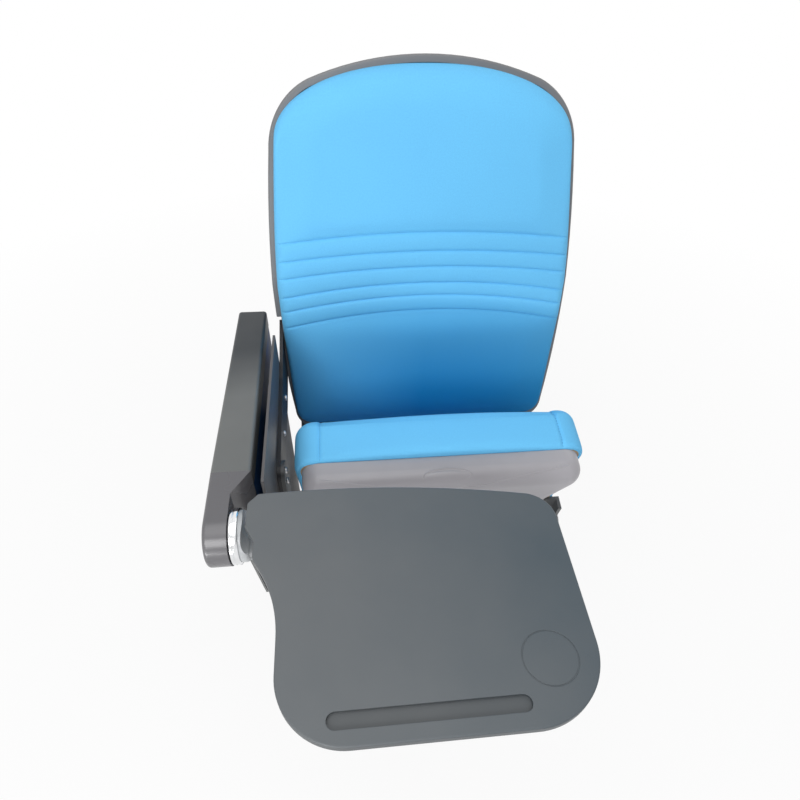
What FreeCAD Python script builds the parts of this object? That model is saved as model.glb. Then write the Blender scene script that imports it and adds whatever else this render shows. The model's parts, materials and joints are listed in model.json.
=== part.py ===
"""Tip-up lecture chair with a folding writing tablet, as one parametric document.

Frame: +Z up, millimetres, the sitter faces -Y, X = 0 is the middle of the seat and the back.
The origin is the middle of the four floor bolts, on the floor. The chair is drawn as it waits
in an empty room: the seat tipped up, the writing tablet unfolded and level.
"""
import FreeCAD, Part
import math
import os

import Sketcher

doc = FreeCAD.newDocument("TabletArmChair")
sheet = doc.addObject("Spreadsheet::Sheet", "dims")

DRIVING_SIZES = {
    # floor plates and the four bolts that hold them
    "foot_length": 340.0,
    "foot_width": 120.0,
    "foot_thick": 8.0,
    "foot_inner": 200.0,
    "foot_corner": 18.0,
    "bolt_x": 285.0,
    "bolt_y": 130.0,
    "bolt_hole": 12.0,
    # posts behind the seat, their caps and the tie between them
    "post_width": 30.0,
    "post_depth": 50.0,
    "post_wall": 2.5,
    "post_inner": 199.0,
    "post_front": 50.0,
    "post_top": 396.0,
    "cap_thick": 3.0,
    "cap_plug": 14.0,
    "cap_clear": 0.2,
    "tie_height": 160.0,
    "tie_radius": 19.0,
    "tie_wall": 2.5,
    # steel side plates, the seat pivot and its stop peg
    "plate_thick": 6.0,
    "plate_lobe": 20.0,
    "plate_foot_low": 250.0,
    "plate_neck_top": 385.0,
    "plate_arm_depth": 30.0,
    "plate_arm_reach": 190.0,
    "pivot_setback": 128.0,
    "pivot_height": 338.0,
    "pin_radius": 6.0,
    "pin_head_radius": 11.0,
    "pin_head": 4.5,
    "pin_tail": 3.0,
    "peg_orbit": 33.0,
    "peg_angle": 225.0,
    "peg_radius": 5.0,
    "spacer_radius": 12.0,
    "fit_clear": 0.05,
    "turn_clear": 0.3,
    # seat, drawn level with its pivot at the origin, then tipped
    "tip_angle": 78.0,
    "seat_front": 249.0,
    "seat_rear": 148.0,
    "seat_top": 92.8,
    "seat_half_front": 227.0,
    "seat_half_rear": 205.0,
    "seat_corner": 30.0,
    "seat_bow": 7.0,
    "board_thick": 10.0,
    "board_low": 12.0,
    "board_inset": 9.0,
    "soft_clear": 0.3,
    "pan_half_front": 215.0,
    "pan_half_neck": 178.0,
    "pan_half_rear": 165.0,
    "pan_shoulder": 204.0,
    "pan_neck": 152.0,
    "pan_front": 243.0,
    "pan_rear": 141.0,
    "pan_depth": 46.0,
    "pan_wall": 4.0,
    "pan_corner": 29.0,
    "pan_edge": 27.0,
    "badge_long": 50.0,
    "badge_short": 15.0,
    "badge_thick": 5.4,
    "badge_sink": 4.0,
    "hinge_thick": 6.0,
    "hinge_gap": 4.0,
    "hinge_flange": 5.0,
    "hinge_flange_reach": 40.0,
    "hinge_front": 75.0,
    "hinge_back": 55.0,
    "hinge_sector": 44.0,
    "bush_radius": 9.0,
    "weight_length": 306.0,
    "weight_depth": 46.0,
    "weight_height": 24.0,
    "weight_gap": 6.0,
    "screw_radius": 2.5,
    "screw_head_radius": 5.0,
    "screw_head": 3.0,
    "screw_bite": 7.0,
    "screw_pitch": 42.0,
    "screw_margin": 14.0,
    "pan_screw_x": 110.0,
    # back, drawn flat and then reclined
    "recline": 14.4,
    "back_foot_y": 78.0,
    "back_foot_z": 440.0,
    "rim_low": 26.0,
    "rim_half_low": 240.0,
    "rim_half_mid": 256.0,
    "rim_mid": 258.0,
    "rim_half_top": 238.0,
    "rim_shoulder": 464.0,
    "rim_half_crown": 172.0,
    "rim_crown_side": 555.0,
    "rim_side_radius": 1900.0,
    "rim_upper_radius": 2000.0,
    "rim_corner_radius": 108.0,
    "rim_crown_radius": 500.0,
    "rim_wall": 9.0,
    "rim_foot_corner": 40.0,
    "rim_edge": 3.0,
    "shell_depth": 35.0,
    "shell_skin": 4.0,
    "shell_edge": 11.0,
    "back_board_thick": 9.0,
    "back_board_clear": 1.5,
    "back_crown": 38.0,
    "back_shoulder": 20.0,
    "back_gap": 4.0,
    "seam_count": 6,
    "seam_low": 202.0,
    "seam_pitch": 28.6,
    "seam_depth": 5.0,
    "seam_arch_low": 25.0,
    "seam_arch_step": 2.8,
    "flange_width": 34.0,
    "flange_thick": 5.0,
    "flange_low": 8.0,
    "flange_length": 178.0,
    "flange_screw_inset": 25.0,
    # arm box on the sitter's right, with its tablet pocket, stacked outward from the side plate
    "arm_gap": 6.0,
    "arm_splay": 3.0,
    "arm_rear": 133.0,
    "pad_lip": 1.0,
    "pad_thick": 28.0,
    "pad_edge": 5.0,
    "skin_thick": 4.0,
    "skin_inset": 2.0,
    "pocket_width": 15.0,
    "pocket_floor": 190.0,
    "pocket_floor_thick": 8.0,
    "mouth_clear": 2.0,
    "inner_rear": 60.0,
    "skirt_low": 180.0,
    "skirt_toe": 145.0,
    "skirt_heel": 80.0,
    "skirt_knee": 420.0,
    "shoulder_drop": 49.0,
    "pocket_toe": 200.0,
    "strip_top": 480.0,
    "arm_post_width": 41.0,
    "arm_post_depth": 50.0,
    "arm_post_front": 60.0,
    "upright_width": 40.0,
    "upright_front": 165.0,
    "upright_top": 556.0,
    "bracket_height": 52.0,
    "bracket_rise": 62.0,
    "bracket_rear": 145.0,
    "bracket_knee": 30.0,
    "bracket_sag": 6.0,
    "bracket_lift": 24.0,
    "wall_screw_front": -60.0,
    "wall_screw_rear": 20.0,
    "wall_screw_lift": 7.0,
    "notch_low": 66.0,
    "notch_high": 202.0,
    # hinge at the nose of the arm
    "swing_setback": 310.0,
    "swing_height": 610.0,
    "nose_radius": 37.0,
    "nose_length": 77.0,
    "notch_width": 23.0,
    "notch_length": 40.0,
    "nose_edge": 5.0,
    "drum_radius": 36.0,
    "drum_width": 11.4,
    "drum_gap": 0.6,
    "drum_edge": 2.0,
    "swing_pin_radius": 7.0,
    "swing_bush_radius": 10.0,
    "swing_depth": 22.0,
    "boss_radius": 33.0,
    "boss_width": 10.5,
    "boss_edge": 5.0,
    "fold_offset": 20.5,
    "fold_rise": 22.0,
    "fold_pin_radius": 4.0,
    "fold_head": 2.0,
    "fold_head_radius": 6.0,
    "link_drop": 26.0,
    "link_thick": 24.0,
    "link_width": 40.0,
    "lug_half": 7.0,
    "lug_length": 24.0,
    "ledge_reach": 12.0,
    "eye_radius": 8.0,
    "eye_length": 16.0,
    "eye_gap": 2.0,
    # writing tablet, measured from the fold pin: across the chair, and ahead of or behind the pin
    "tablet_rise": 19.0,
    "tablet_thick": 11.0,
    "tablet_edge": 2.0,
    "tablet_tail": 34.0,
    "tablet_tail_right": 2.0,
    "tablet_front": 273.5,
    "tablet_right": 362.0,
    "tablet_right_front": 358.0,
    "tablet_left": 23.0,
    "tablet_back_radius": 1400.0,
    "ear_left": 19.5,
    "ear_back_left": 7.0,
    "ear_rear": 20.0,
    "ear_front": 16.0,
    "ear_corner": 5.0,
    "ear_waist": 8.5,
    "ear_waist_rear": 36.0,
    "ear_waist_front": 62.0,
    "neck_end": 160.0,
    "neck_corner": 20.0,
    "tablet_corner_left": 74.0,
    "tablet_corner_right": 82.0,
    "tablet_corner_back": 40.0,
    "groove_left": 83.0,
    "groove_right": 267.0,
    "groove_line": 248.5,
    "groove_half": 8.7,
    "groove_depth": 4.5,
    "ring_x": 305.0,
    "ring_line": 206.0,
    "ring_radius": 30.0,
    "ring_line_width": 1.4,
    "ring_depth": 0.6,
    "leaf_reach": 102.0,
    "leaf_thick": 4.0,
    "leaf_clear": 0.2,
    "leaf_screw_radius": 2.0,
    "leaf_head_radius": 4.0,
    "leaf_head": 2.4,
}


def fill_sheet():
    """Write every driving size into the sheet, one named cell a row."""
    for row, (name, value) in enumerate(DRIVING_SIZES.items(), start=1):
        sheet.set(f"A{row}", name)
        sheet.set(f"B{row}", str(value))
        sheet.setAlias(f"B{row}", name)
    doc.recompute()


fill_sheet()


def sized(expression):
    """Turn bare size names in an expression into cells of the sheet."""
    words = []
    word = ""
    for letter in str(expression) + " ":
        if letter.isalnum() or letter == "_":
            word += letter
            continue
        words.append(f"dims.{word}" if word in DRIVING_SIZES else word)
        words.append(letter)
        word = ""
    return "".join(words).strip()


def num(expression):
    """Give the present value of an expression of size names."""
    value = sheet.evalExpression(sized(expression))
    return float(getattr(value, "Value", value))


def bind(thing, prop, expression):
    """Drive a property of a document object from the sheet."""
    thing.setExpression(prop, sized(expression))


def locate(thing, x="0", y="0", z="0"):
    """Bind the place of a document object."""
    for axis, expression in zip("xyz", (x, y, z)):
        bind(thing, f"Placement.Base.{axis}", expression)


def near_x(side, inner, width):
    """Lowest X of a piece that starts at `inner` from the middle plane and is `width` wide."""
    return f"{inner}" if side > 0 else f"-({inner}) - ({width})"


def side_word(side):
    """Name of the chair's side as seen from the front."""
    return "right" if side > 0 else "left"


SIDES = (-1, 1)
AXES = {
    "x": FreeCAD.Rotation(FreeCAD.Vector(0, 1, 0), 90),
    "y": FreeCAD.Rotation(FreeCAD.Vector(1, 0, 0), -90),
    "z": FreeCAD.Rotation(),
}
finished = []


def finish(thing, label):
    """Label a finished sub-part and list it for the hand-out."""
    thing.Label = label
    finished.append(thing)
    return thing


def box(name, x, y, z, length, width, height):
    """A block with its lowest corner at x, y, z."""
    block = doc.addObject("Part::Box", name)
    bind(block, "Length", length)
    bind(block, "Width", width)
    bind(block, "Height", height)
    locate(block, x, y, z)
    return block


def rod(name, axis, x, y, z, radius, length):
    """A cylinder that starts at x, y, z and runs along an axis."""
    cylinder = doc.addObject("Part::Cylinder", name)
    bind(cylinder, "Radius", radius)
    bind(cylinder, "Height", length)
    cylinder.Placement = FreeCAD.Placement(FreeCAD.Vector(), AXES[axis])
    locate(cylinder, x, y, z)
    return cylinder


def cut(name, base, tool):
    """Base less tool."""
    result = doc.addObject("Part::Cut", name)
    result.Base = base
    result.Tool = tool
    return result


def join(name, shapes):
    """Several shapes as one solid, or a group of separate solids."""
    result = doc.addObject("Part::MultiFuse", name)
    result.Shapes = shapes
    return result


def arc_between(start, end, radius, bulge):
    """Arc under a half circle; a bulge of 1 swells to the right of travel and -1 to the left."""
    chord = end - start
    depth = math.sqrt(max(radius ** 2 - chord.Length ** 2 / 4, 0))
    outward = FreeCAD.Vector(chord.y, -chord.x, 0).normalize() * bulge
    centre = (start + end) * 0.5 - outward * depth
    angles = [math.atan2(point.y - centre.y, point.x - centre.x) for point in (start, end)]
    if bulge < 0:
        angles.reverse()
    return Part.ArcOfCircle(Part.Circle(centre, FreeCAD.Vector(0, 0, 1), radius), *angles)


def pin_point(sketch, geometry, position, x, y):
    """Hold a point of a sketch at sheet-driven coordinates."""
    for kind, expression in (("DistanceX", x), ("DistanceY", y)):
        value = num(expression)
        index = sketch.addConstraint(Sketcher.Constraint(kind, -1, 1, geometry, position, value))
        sketch.setExpression(f"Constraints[{index}]", sized(expression))


def outline(body, plane, corners, arcs=None, holes=()):
    """Draw a closed outline on one of a body's own planes.

    corners are (x, y) expressions in order; arcs maps an edge's number to (radius, bulge);
    holes are (x, y, radius).
    """
    arcs = arcs or {}
    sketch = body.newObject("Sketcher::SketchObject", f"{body.Name}_outline")
    datum = next(item for item in body.Origin.OriginFeatures if item.Role == plane)
    sketch.AttachmentSupport = [(datum, "")]
    sketch.MapMode = "FlatFace"
    points = [FreeCAD.Vector(num(x), num(y), 0) for x, y in corners]
    ends = []
    for number, start in enumerate(points):
        end = points[(number + 1) % len(points)]
        if number in arcs:
            radius, bulge = arcs[number]
            geometry = sketch.addGeometry(arc_between(start, end, num(radius), bulge))
            ends.append((geometry, 1, 2) if bulge > 0 else (geometry, 2, 1))
        else:
            geometry = sketch.addGeometry(Part.LineSegment(start, end))
            ends.append((geometry, 1, 2))
    for number, (geometry, first, last) in enumerate(ends):
        following = ends[(number + 1) % len(ends)]
        sketch.addConstraint(Sketcher.Constraint("Coincident", geometry, last, following[0], following[1]))
    for (geometry, first, last), (x, y) in zip(ends, corners):
        pin_point(sketch, geometry, first, x, y)
    for number, (radius, bulge) in arcs.items():
        hold_arc(sketch, ends[number][0], corners[number], corners[(number + 1) % len(corners)], radius, bulge)
    for x, y, radius in holes:
        centre = FreeCAD.Vector(num(x), num(y), 0)
        geometry = sketch.addGeometry(Part.Circle(centre, FreeCAD.Vector(0, 0, 1), num(radius)))
        pin_point(sketch, geometry, 3, x, y)
        hold_radius(sketch, geometry, radius)
    return sketch


def hold_arc(sketch, geometry, start, end, radius, bulge):
    """Drive the radius of an arc between two held ends by its centre, so that it keeps its side."""
    (start_x, start_y), (end_x, end_y) = start, end
    run, rise = f"({end_x} - ({start_x}))", f"({end_y} - ({start_y}))"
    chord = f"sqrt({run} * {run} + {rise} * {rise})"
    depth = f"sqrt(({radius}) * ({radius}) - {chord} * {chord} / 4)"
    if abs(num(rise)) > abs(num(run)):
        kind = "DistanceX"
        place = f"({start_x} + {end_x}) / 2 - ({bulge}) * {rise} * {depth} / {chord}"
    else:
        kind = "DistanceY"
        place = f"({start_y} + {end_y}) / 2 + ({bulge}) * {run} * {depth} / {chord}"
    index = sketch.addConstraint(Sketcher.Constraint(kind, -1, 1, geometry, 3, num(place)))
    sketch.setExpression(f"Constraints[{index}]", sized(place))


def hold_radius(sketch, geometry, radius):
    """Drive a circle's radius from the sheet."""
    index = sketch.addConstraint(Sketcher.Constraint("Radius", geometry, num(radius)))
    sketch.setExpression(f"Constraints[{index}]", sized(radius))


def new_body(name):
    """An empty PartDesign body."""
    return doc.addObject("PartDesign::Body", name)


def pad(body, sketch, thickness):
    """Pad a sketch of a body by a sheet-driven thickness."""
    feature = body.newObject("PartDesign::Pad", f"{body.Name}_pad")
    feature.Profile = sketch
    bind(feature, "Length", thickness)
    sketch.Visibility = False
    doc.recompute()
    return feature


def pocket(body, sketch, depth, above=None):
    """Cut a sketch into a body; above lifts the sketch plane to the face that is cut."""
    if above is not None:
        bind(sketch, "AttachmentOffset.Base.z", above)
    before = body.Shape.Volume
    feature = body.newObject("PartDesign::Pocket", f"{body.Name}_pocket")
    feature.Profile = sketch
    bind(feature, "Length", depth)
    doc.recompute()
    if not body.Shape.Volume < before:
        raise RuntimeError(f"a pocket in {body.Name} cuts nothing")
    return feature


def round_edges(body, radius, wanted):
    """Fillet the edges of a body's tip that the test `wanted` picks."""
    tip = body.Tip
    names = [f"Edge{number}" for number, edge in enumerate(tip.Shape.Edges, start=1) if wanted(edge)]
    if not names:
        raise RuntimeError(f"no edge to round on {body.Name}")
    feature = body.newObject("PartDesign::Fillet", f"{body.Name}_fillet")
    feature.Base = (tip, names)
    bind(feature, "Radius", radius)
    doc.recompute()
    return feature


def stands_at(places, normal="z"):
    """Test for edges along a body's pad direction through given (x, y) places of its sketch."""
    first, second = {"z": ("x", "y"), "x": ("y", "z")}[normal]
    spots = [(num(x), num(y)) for x, y in places]

    def wanted(edge):
        ends = [vertex.Point for vertex in edge.Vertexes]
        if len(ends) != 2 or abs(getattr(ends[0] - ends[1], normal)) < 1e-3:
            return False
        centre = edge.CenterOfMass
        return any(
            math.hypot(getattr(centre, first) - one, getattr(centre, second) - two) < 1e-3
            for one, two in spots
        )

    return wanted


def lies_at(level, axis="z"):
    """Test for edges that lie whole in the plane at `level` of an axis."""
    height = num(level)

    def wanted(edge):
        box_of_edge = edge.BoundBox
        low = getattr(box_of_edge, f"{axis.upper()}Min")
        high = getattr(box_of_edge, f"{axis.upper()}Max")
        return abs(low - height) < 1e-4 and abs(high - height) < 1e-4

    return wanted


def foot_plates():
    """Two steel plates on the floor, each with two bolt holes."""
    for side in SIDES:
        body = new_body(f"foot_{side_word(side)}")
        low = near_x(side, "foot_inner", "foot_width")
        high = f"{low} + foot_width"
        corners = [
            (low, "-foot_length / 2"),
            (high, "-foot_length / 2"),
            (high, "foot_length / 2"),
            (low, "foot_length / 2"),
        ]
        bolt = "bolt_x" if side > 0 else "-bolt_x"
        holes = [(bolt, "-bolt_y", "bolt_hole / 2"), (bolt, "bolt_y", "bolt_hole / 2")]
        pad(body, outline(body, "XY_Plane", corners, holes=holes), "foot_thick")
        round_edges(body, "foot_corner", stands_at(corners))
        finish(body, f"foot_plate_{side_word(side)}")


def tube(name, x, y, width, depth, low, top):
    """A square-cornered upright tube of the posts' wall."""
    outer = box(f"{name}_outer", x, y, low, width, depth, f"{top} - ({low})")
    inner = box(
        f"{name}_inner", f"{x} + post_wall", f"{y} + post_wall", low,
        f"{width} - 2 * post_wall", f"{depth} - 2 * post_wall", f"{top} - ({low})",
    )
    return cut(name, outer, inner)


def posts_and_tie():
    """The two rear posts, their plastic caps and the round tie between them."""
    plug_inset = "post_wall + cap_clear"
    for side in SIDES:
        word = side_word(side)
        low_x = near_x(side, "post_inner", "post_width")
        finish(
            tube(f"rear_{word}", low_x, "post_front", "post_width", "post_depth", "foot_thick", "post_top"),
            f"post_{word}",
        )
        lid = box(f"lid_{word}", low_x, "post_front", "post_top", "post_width", "post_depth", "cap_thick")
        plug = box(
            f"plug_{word}", f"{low_x} + {plug_inset}", f"post_front + {plug_inset}", "post_top - cap_plug",
            f"post_width - 2 * ({plug_inset})", f"post_depth - 2 * ({plug_inset})", "cap_plug + cap_thick / 2",
        )
        finish(join(f"cap_{word}", [lid, plug]), f"post_cap_{word}")
    middle = "post_front + post_depth / 2"
    outer = rod("tie_outer", "x", "-post_inner", middle, "tie_height", "tie_radius", "2 * post_inner")
    bore = rod("tie_bore", "x", "-post_inner", middle, "tie_height", "tie_radius - tie_wall", "2 * post_inner")
    finish(cut("tie", outer, bore), "cross_tube")


PLATE_NEAR = "(post_inner + post_width)"
HINGE_FAR = f"({PLATE_NEAR} - hinge_gap)"
HINGE_NEAR = f"({HINGE_FAR} - hinge_thick)"
PEG_Y = "(-pivot_setback + peg_orbit * cos(peg_angle * 1 deg))"
PEG_Z = "(pivot_height + peg_orbit * sin(peg_angle * 1 deg))"


def behind_rim(level, depth):
    """Y at height `level` of the plane that lies `depth` behind the rim of the reclined back."""
    return (
        f"(back_foot_y + ({level} - back_foot_z) * tan(recline * 1 deg)"
        f" + ({depth}) / cos(recline * 1 deg))"
    )


def side_plates():
    """Steel plates that carry the seat pivots and reach up behind the back."""
    arm_top = "(back_foot_z + plate_arm_reach)"
    under_back = "(post_top + cap_thick)"
    behind = "shell_depth"
    corners = [
        ("-pivot_setback", "pivot_height + plate_lobe"),
        ("-pivot_setback - plate_lobe", "pivot_height"),
        (f"{PEG_Y} - plate_lobe", PEG_Z),
        (PEG_Y, f"{PEG_Z} - plate_lobe"),
        ("post_front", "plate_foot_low"),
        ("post_front + post_depth", "plate_foot_low"),
        (behind_rim(under_back, f"{behind} + plate_arm_depth"), under_back),
        (behind_rim(arm_top, f"{behind} + plate_arm_depth"), arm_top),
        (behind_rim(arm_top, behind), arm_top),
        (behind_rim(under_back, behind), under_back),
        ("post_front", "plate_neck_top"),
    ]
    arcs = {0: ("plate_lobe", 1)}
    holes = [
        ("-pivot_setback", "pivot_height", "pin_radius + fit_clear"),
        (PEG_Y, PEG_Z, "peg_radius + fit_clear"),
    ]
    for side in SIDES:
        body = new_body(f"cheek_{side_word(side)}")
        pad(body, outline(body, "YZ_Plane", corners, arcs, holes), "plate_thick")
        locate(body, near_x(side, PLATE_NEAR, "plate_thick"))
        finish(body, f"side_plate_{side_word(side)}")


def pivot_pins():
    """Headed pins for the seat, their spacers, and the pegs that stop its swing."""
    for side in SIDES:
        word = side_word(side)
        shank_far = f"{PLATE_NEAR} + plate_thick"
        shank_near = f"{HINGE_NEAR} - pin_tail"
        shank_long = f"({shank_far}) - ({shank_near})"
        at = ("-pivot_setback", "pivot_height")
        shank_x = near_x(side, shank_near, shank_long)
        head_x = near_x(side, shank_far, "pin_head")
        shank = rod(f"pin_{word}_shank", "x", shank_x, *at, "pin_radius", shank_long)
        head = rod(f"pin_{word}_head", "x", head_x, *at, "pin_head_radius", "pin_head")
        finish(join(f"pin_{word}", [shank, head]), f"pivot_pin_{word}")
        spacer_long = "hinge_gap - turn_clear"
        spacer_x = near_x(side, f"{HINGE_FAR} + turn_clear", spacer_long)
        ring = rod(f"spacer_{word}_ring", "x", spacer_x, *at, "spacer_radius", spacer_long)
        bore = rod(f"spacer_{word}_bore", "x", spacer_x, *at, "pin_radius + fit_clear", spacer_long)
        finish(cut(f"spacer_{word}", ring, bore), f"pivot_spacer_{word}")
        peg = rod(f"peg_{word}", "x", shank_x, PEG_Y, PEG_Z, "peg_radius", shank_long)
        finish(peg, f"stop_peg_{word}")


def tip(thing, x="0", y="0", z="0"):
    """Turn a seat piece, drawn level about its pivot, up to where the empty seat rests."""
    turn = FreeCAD.Rotation(FreeCAD.Vector(-1, 0, 0), num("tip_angle"))
    thing.Placement = FreeCAD.Placement(FreeCAD.Vector(), turn)
    bind(thing, "Placement.Rotation.Angle", "tip_angle * 1 deg")
    sine, cosine = "sin(tip_angle * 1 deg)", "cos(tip_angle * 1 deg)"
    locate(
        thing, x,
        f"-pivot_setback + ({y}) * {cosine} + ({z}) * {sine}",
        f"pivot_height - ({y}) * {sine} + ({z}) * {cosine}",
    )
    return thing


BOARD_TOP = "(board_low + board_thick)"
PAN_LOW = "(board_low - pan_depth)"
FLANGE_LOW = "(board_low - hinge_flange)"


def seat_pan():
    """Moulded pan under the seat: wide at its front, waisted towards the hinges, hollow above."""
    def rim(inset):
        return [
            (f"-pan_half_front + {inset}", f"-pan_front + {inset}"),
            (f"pan_half_front - {inset}", f"-pan_front + {inset}"),
            (f"pan_half_front - {inset}", "-pan_shoulder"),
            (f"pan_half_neck - {inset}", "-pan_neck"),
            (f"pan_half_rear - {inset}", f"pan_rear - {inset}"),
            (f"-pan_half_rear + {inset}", f"pan_rear - {inset}"),
            (f"-pan_half_neck + {inset}", "-pan_neck"),
            (f"-pan_half_front + {inset}", "-pan_shoulder"),
        ]

    def form(name, inset):
        body = new_body(name)
        corners = rim(inset)
        pad(body, outline(body, "XY_Plane", corners), "pan_depth")
        round_edges(body, f"pan_corner - {inset}", stands_at(corners))
        round_edges(body, f"pan_edge - {inset}", lies_at("0"))
        return body

    hollow = form("pan_hollow", "pan_wall")
    locate(hollow, z="pan_wall")
    shell = cut("pan_shell", form("pan", "0"), hollow)
    badge = doc.addObject("Part::Ellipsoid", "badge_blank")
    bind(badge, "Radius1", "badge_thick")
    bind(badge, "Radius2", "badge_long")
    bind(badge, "Radius3", "badge_short")
    badge.Placement.Rotation = FreeCAD.Rotation(FreeCAD.Vector(-1, 0, 0), 45)
    set_in = "(pan_edge - (pan_edge - badge_sink) * sqrt(0.5))"
    locate(badge, "0", f"-pan_front + {set_in}", set_in)
    drills = [
        rod(f"pan_drill_{number}", "z", x, y, "-pan_wall", "screw_radius + fit_clear", "3 * pan_wall")
        for number, (x, y) in enumerate(PAN_SCREWS)
    ]
    whole = join("pan_badged", [shell, badge])
    drilled = cut("pan_drilled", whole, join("pan_drills", drills))
    finish(tip(drilled, z=PAN_LOW), "seat_pan")


PAN_SCREWS = [
    ("-pan_screw_x", "-screw_pitch"),
    ("pan_screw_x", "-screw_pitch"),
    ("-pan_screw_x", "1.5 * screw_pitch"),
    ("pan_screw_x", "1.5 * screw_pitch"),
]
HINGE_SCREWS = [
    (side, near_x(side, f"{HINGE_NEAR} - hinge_flange_reach / 2", "0"), y)
    for side in SIDES
    for y in ("-hinge_front + screw_margin", "hinge_back - screw_margin")
]
WEIGHT_Y = "(pan_rear - pan_wall - weight_gap - weight_depth)"
WEIGHT_SCREWS = [(f"{sign}weight_length / 3", f"{WEIGHT_Y} + weight_depth / 2") for sign in ("-", "")]


def seat_board():
    """Plywood board that the cushion sits on, drilled for the hinge, pan and weight screws."""
    front, rear = "seat_half_front - board_inset", "seat_half_rear - board_inset"
    corners = [
        (f"-({front})", "-seat_front + board_inset"),
        (front, "-seat_front + board_inset"),
        (rear, "seat_rear - board_inset"),
        (f"-({rear})", "seat_rear - board_inset"),
    ]
    places = [(x, y) for side, x, y in HINGE_SCREWS] + PAN_SCREWS + WEIGHT_SCREWS
    holes = [(x, y, "screw_radius + fit_clear") for x, y in places]
    body = new_body("board")
    pad(body, outline(body, "XY_Plane", corners, holes=holes), "board_thick")
    round_edges(body, "seat_corner - board_inset", stands_at(corners))
    finish(tip(body, z="board_low"), "seat_board")


def ring_wire(level, half_front, half_rear, front, rear, corner, bow):
    """Rounded outline of the seat cushion at one height, its front bowed forward."""
    def point(x, y):
        return FreeCAD.Vector(x, y, level)

    cut_back = corner * (1 - math.sqrt(0.5))
    right = [
        (0, -front - bow), (half_front - corner, -front), (half_front - cut_back, -front + cut_back),
        (half_front, -front + corner), ((half_front + half_rear) / 2, (rear - front) / 2),
        (half_rear, rear - corner), (half_rear - cut_back, rear - cut_back), (half_rear - corner, rear),
    ]
    left = [(-x, y) for x, y in reversed(right[1:])]
    front_arc = Part.Arc(point(*left[-1]), point(*right[0]), point(*right[1]))
    edges = [front_arc]
    edges += [Part.Arc(*(point(*spot) for spot in right[start:start + 3])) for start in (1,)]
    edges.append(Part.LineSegment(point(*right[3]), point(*right[5])))
    edges += [Part.Arc(*(point(*spot) for spot in right[5:8]))]
    edges.append(Part.LineSegment(point(*right[7]), point(*left[0])))
    edges.append(Part.Arc(*(point(*spot) for spot in left[0:3])))
    edges.append(Part.LineSegment(point(*left[2]), point(*left[4])))
    edges.append(Part.Arc(*(point(*spot) for spot in left[4:7])))
    return Part.Wire([edge.toShape() for edge in edges])


# Seat cushion from board to crown: share of its height, and how far it draws in, in board insets.
SEAT_PROFILE = [(0.0, 0.8), (0.18, 0.25), (0.42, 0.0), (0.66, 0.15), (0.82, 0.75), (0.93, 1.9), (1.0, 4.2)]
BOW_SHARE = 1.2


def seat_cushion():
    """Seat cushion: crowned top, sides that swell at mid height and draw in at the board."""
    low = num(f"{BOARD_TOP} + soft_clear")
    height = num("seat_top") - low
    wires = []
    for share, inset in SEAT_PROFILE:
        shrink = inset * num("board_inset")
        wires.append(ring_wire(
            low + share * height, num("seat_half_front") - shrink, num("seat_half_rear") - shrink,
            num("seat_front") - shrink, num("seat_rear") - shrink,
            num("seat_corner"), num("seat_bow") * (BOW_SHARE - share),
        ))
    soft = doc.addObject("Part::Feature", "seat_soft")
    soft.Shape = Part.makeLoft(wires, True, True)
    finish(tip(soft), "seat_cushion")


def seat_hinges():
    """Angle hinges of the seat: a flange under the board and a web with the stop peg's curved slot."""
    half_slot = "peg_radius + turn_clear"
    spare = math.degrees(num("turn_clear") / num("peg_orbit"))
    first = num("peg_angle") - spare
    sweep = num("tip_angle") + 2 * spare
    for side in SIDES:
        word = side_word(side)
        x = near_x(side, HINGE_NEAR, "hinge_thick")
        wide = "hinge_thick"
        strip = box(
            f"web_{word}_strip", x, "-hinge_front", "-board_low",
            wide, "hinge_front + hinge_back", "2 * board_low",
        )
        disc = rod(f"web_{word}_disc", "x", x, "0", "0", "hinge_sector", wide)
        above = box(
            f"web_{word}_above", f"{x} - hinge_thick", "-2 * hinge_sector", "board_low",
            "3 * hinge_thick", "4 * hinge_sector", "2 * hinge_sector",
        )
        flange = box(
            f"flange_{word}", near_x(side, f"{HINGE_NEAR} - hinge_flange_reach", "hinge_flange_reach"),
            "-hinge_front", FLANGE_LOW, "hinge_flange_reach", "hinge_front + hinge_back", "hinge_flange",
        )
        web = cut(f"web_{word}", join(f"web_{word}_whole", [strip, disc]), above)
        plate = join(f"hinge_{word}_plate", [web, flange])
        wedge = rod(f"slot_{word}_wedge", "x", x, "0", "0", f"peg_orbit + {half_slot}", wide)
        turn = FreeCAD.Rotation(FreeCAD.Vector(1, 0, 0), first + 90)
        wedge.Placement.Rotation = turn.multiply(AXES["x"])
        wedge.Angle = sweep
        core = rod(f"slot_{word}_core", "x", x, "0", "0", f"peg_orbit - ({half_slot})", wide)
        ends = []
        for name, angle in (("down", first), ("tipped", first + sweep)):
            ends.append(rod(
                f"slot_{word}_{name}", "x", x, f"peg_orbit * cos({angle} deg)",
                f"peg_orbit * sin({angle} deg)", half_slot, wide,
            ))
        eye = rod(f"hinge_{word}_eye", "x", x, "0", "0", "bush_radius + fit_clear", wide)
        drills = [
            rod(f"hinge_{word}_drill_{number}", "z", sx, sy, f"{FLANGE_LOW} - hinge_flange",
                "screw_radius + fit_clear", "3 * hinge_flange")
            for number, (owner, sx, sy) in enumerate(HINGE_SCREWS) if owner == side
        ]
        slot = join(f"slot_{word}", [cut(f"slot_{word}_arc", wedge, core), *ends])
        cutters = join(f"hinge_{word}_cutters", [slot, eye, *drills])
        finish(tip(cut(f"hinge_{word}", plate, cutters)), f"seat_hinge_{word}")
        ring = rod(f"bush_{word}_ring", "x", x, "0", "0", "bush_radius", wide)
        bore = rod(f"bush_{word}_bore", "x", x, "0", "0", "pin_radius + fit_clear", wide)
        finish(tip(cut(f"bush_{word}", ring, bore)), f"seat_bush_{word}")


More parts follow.
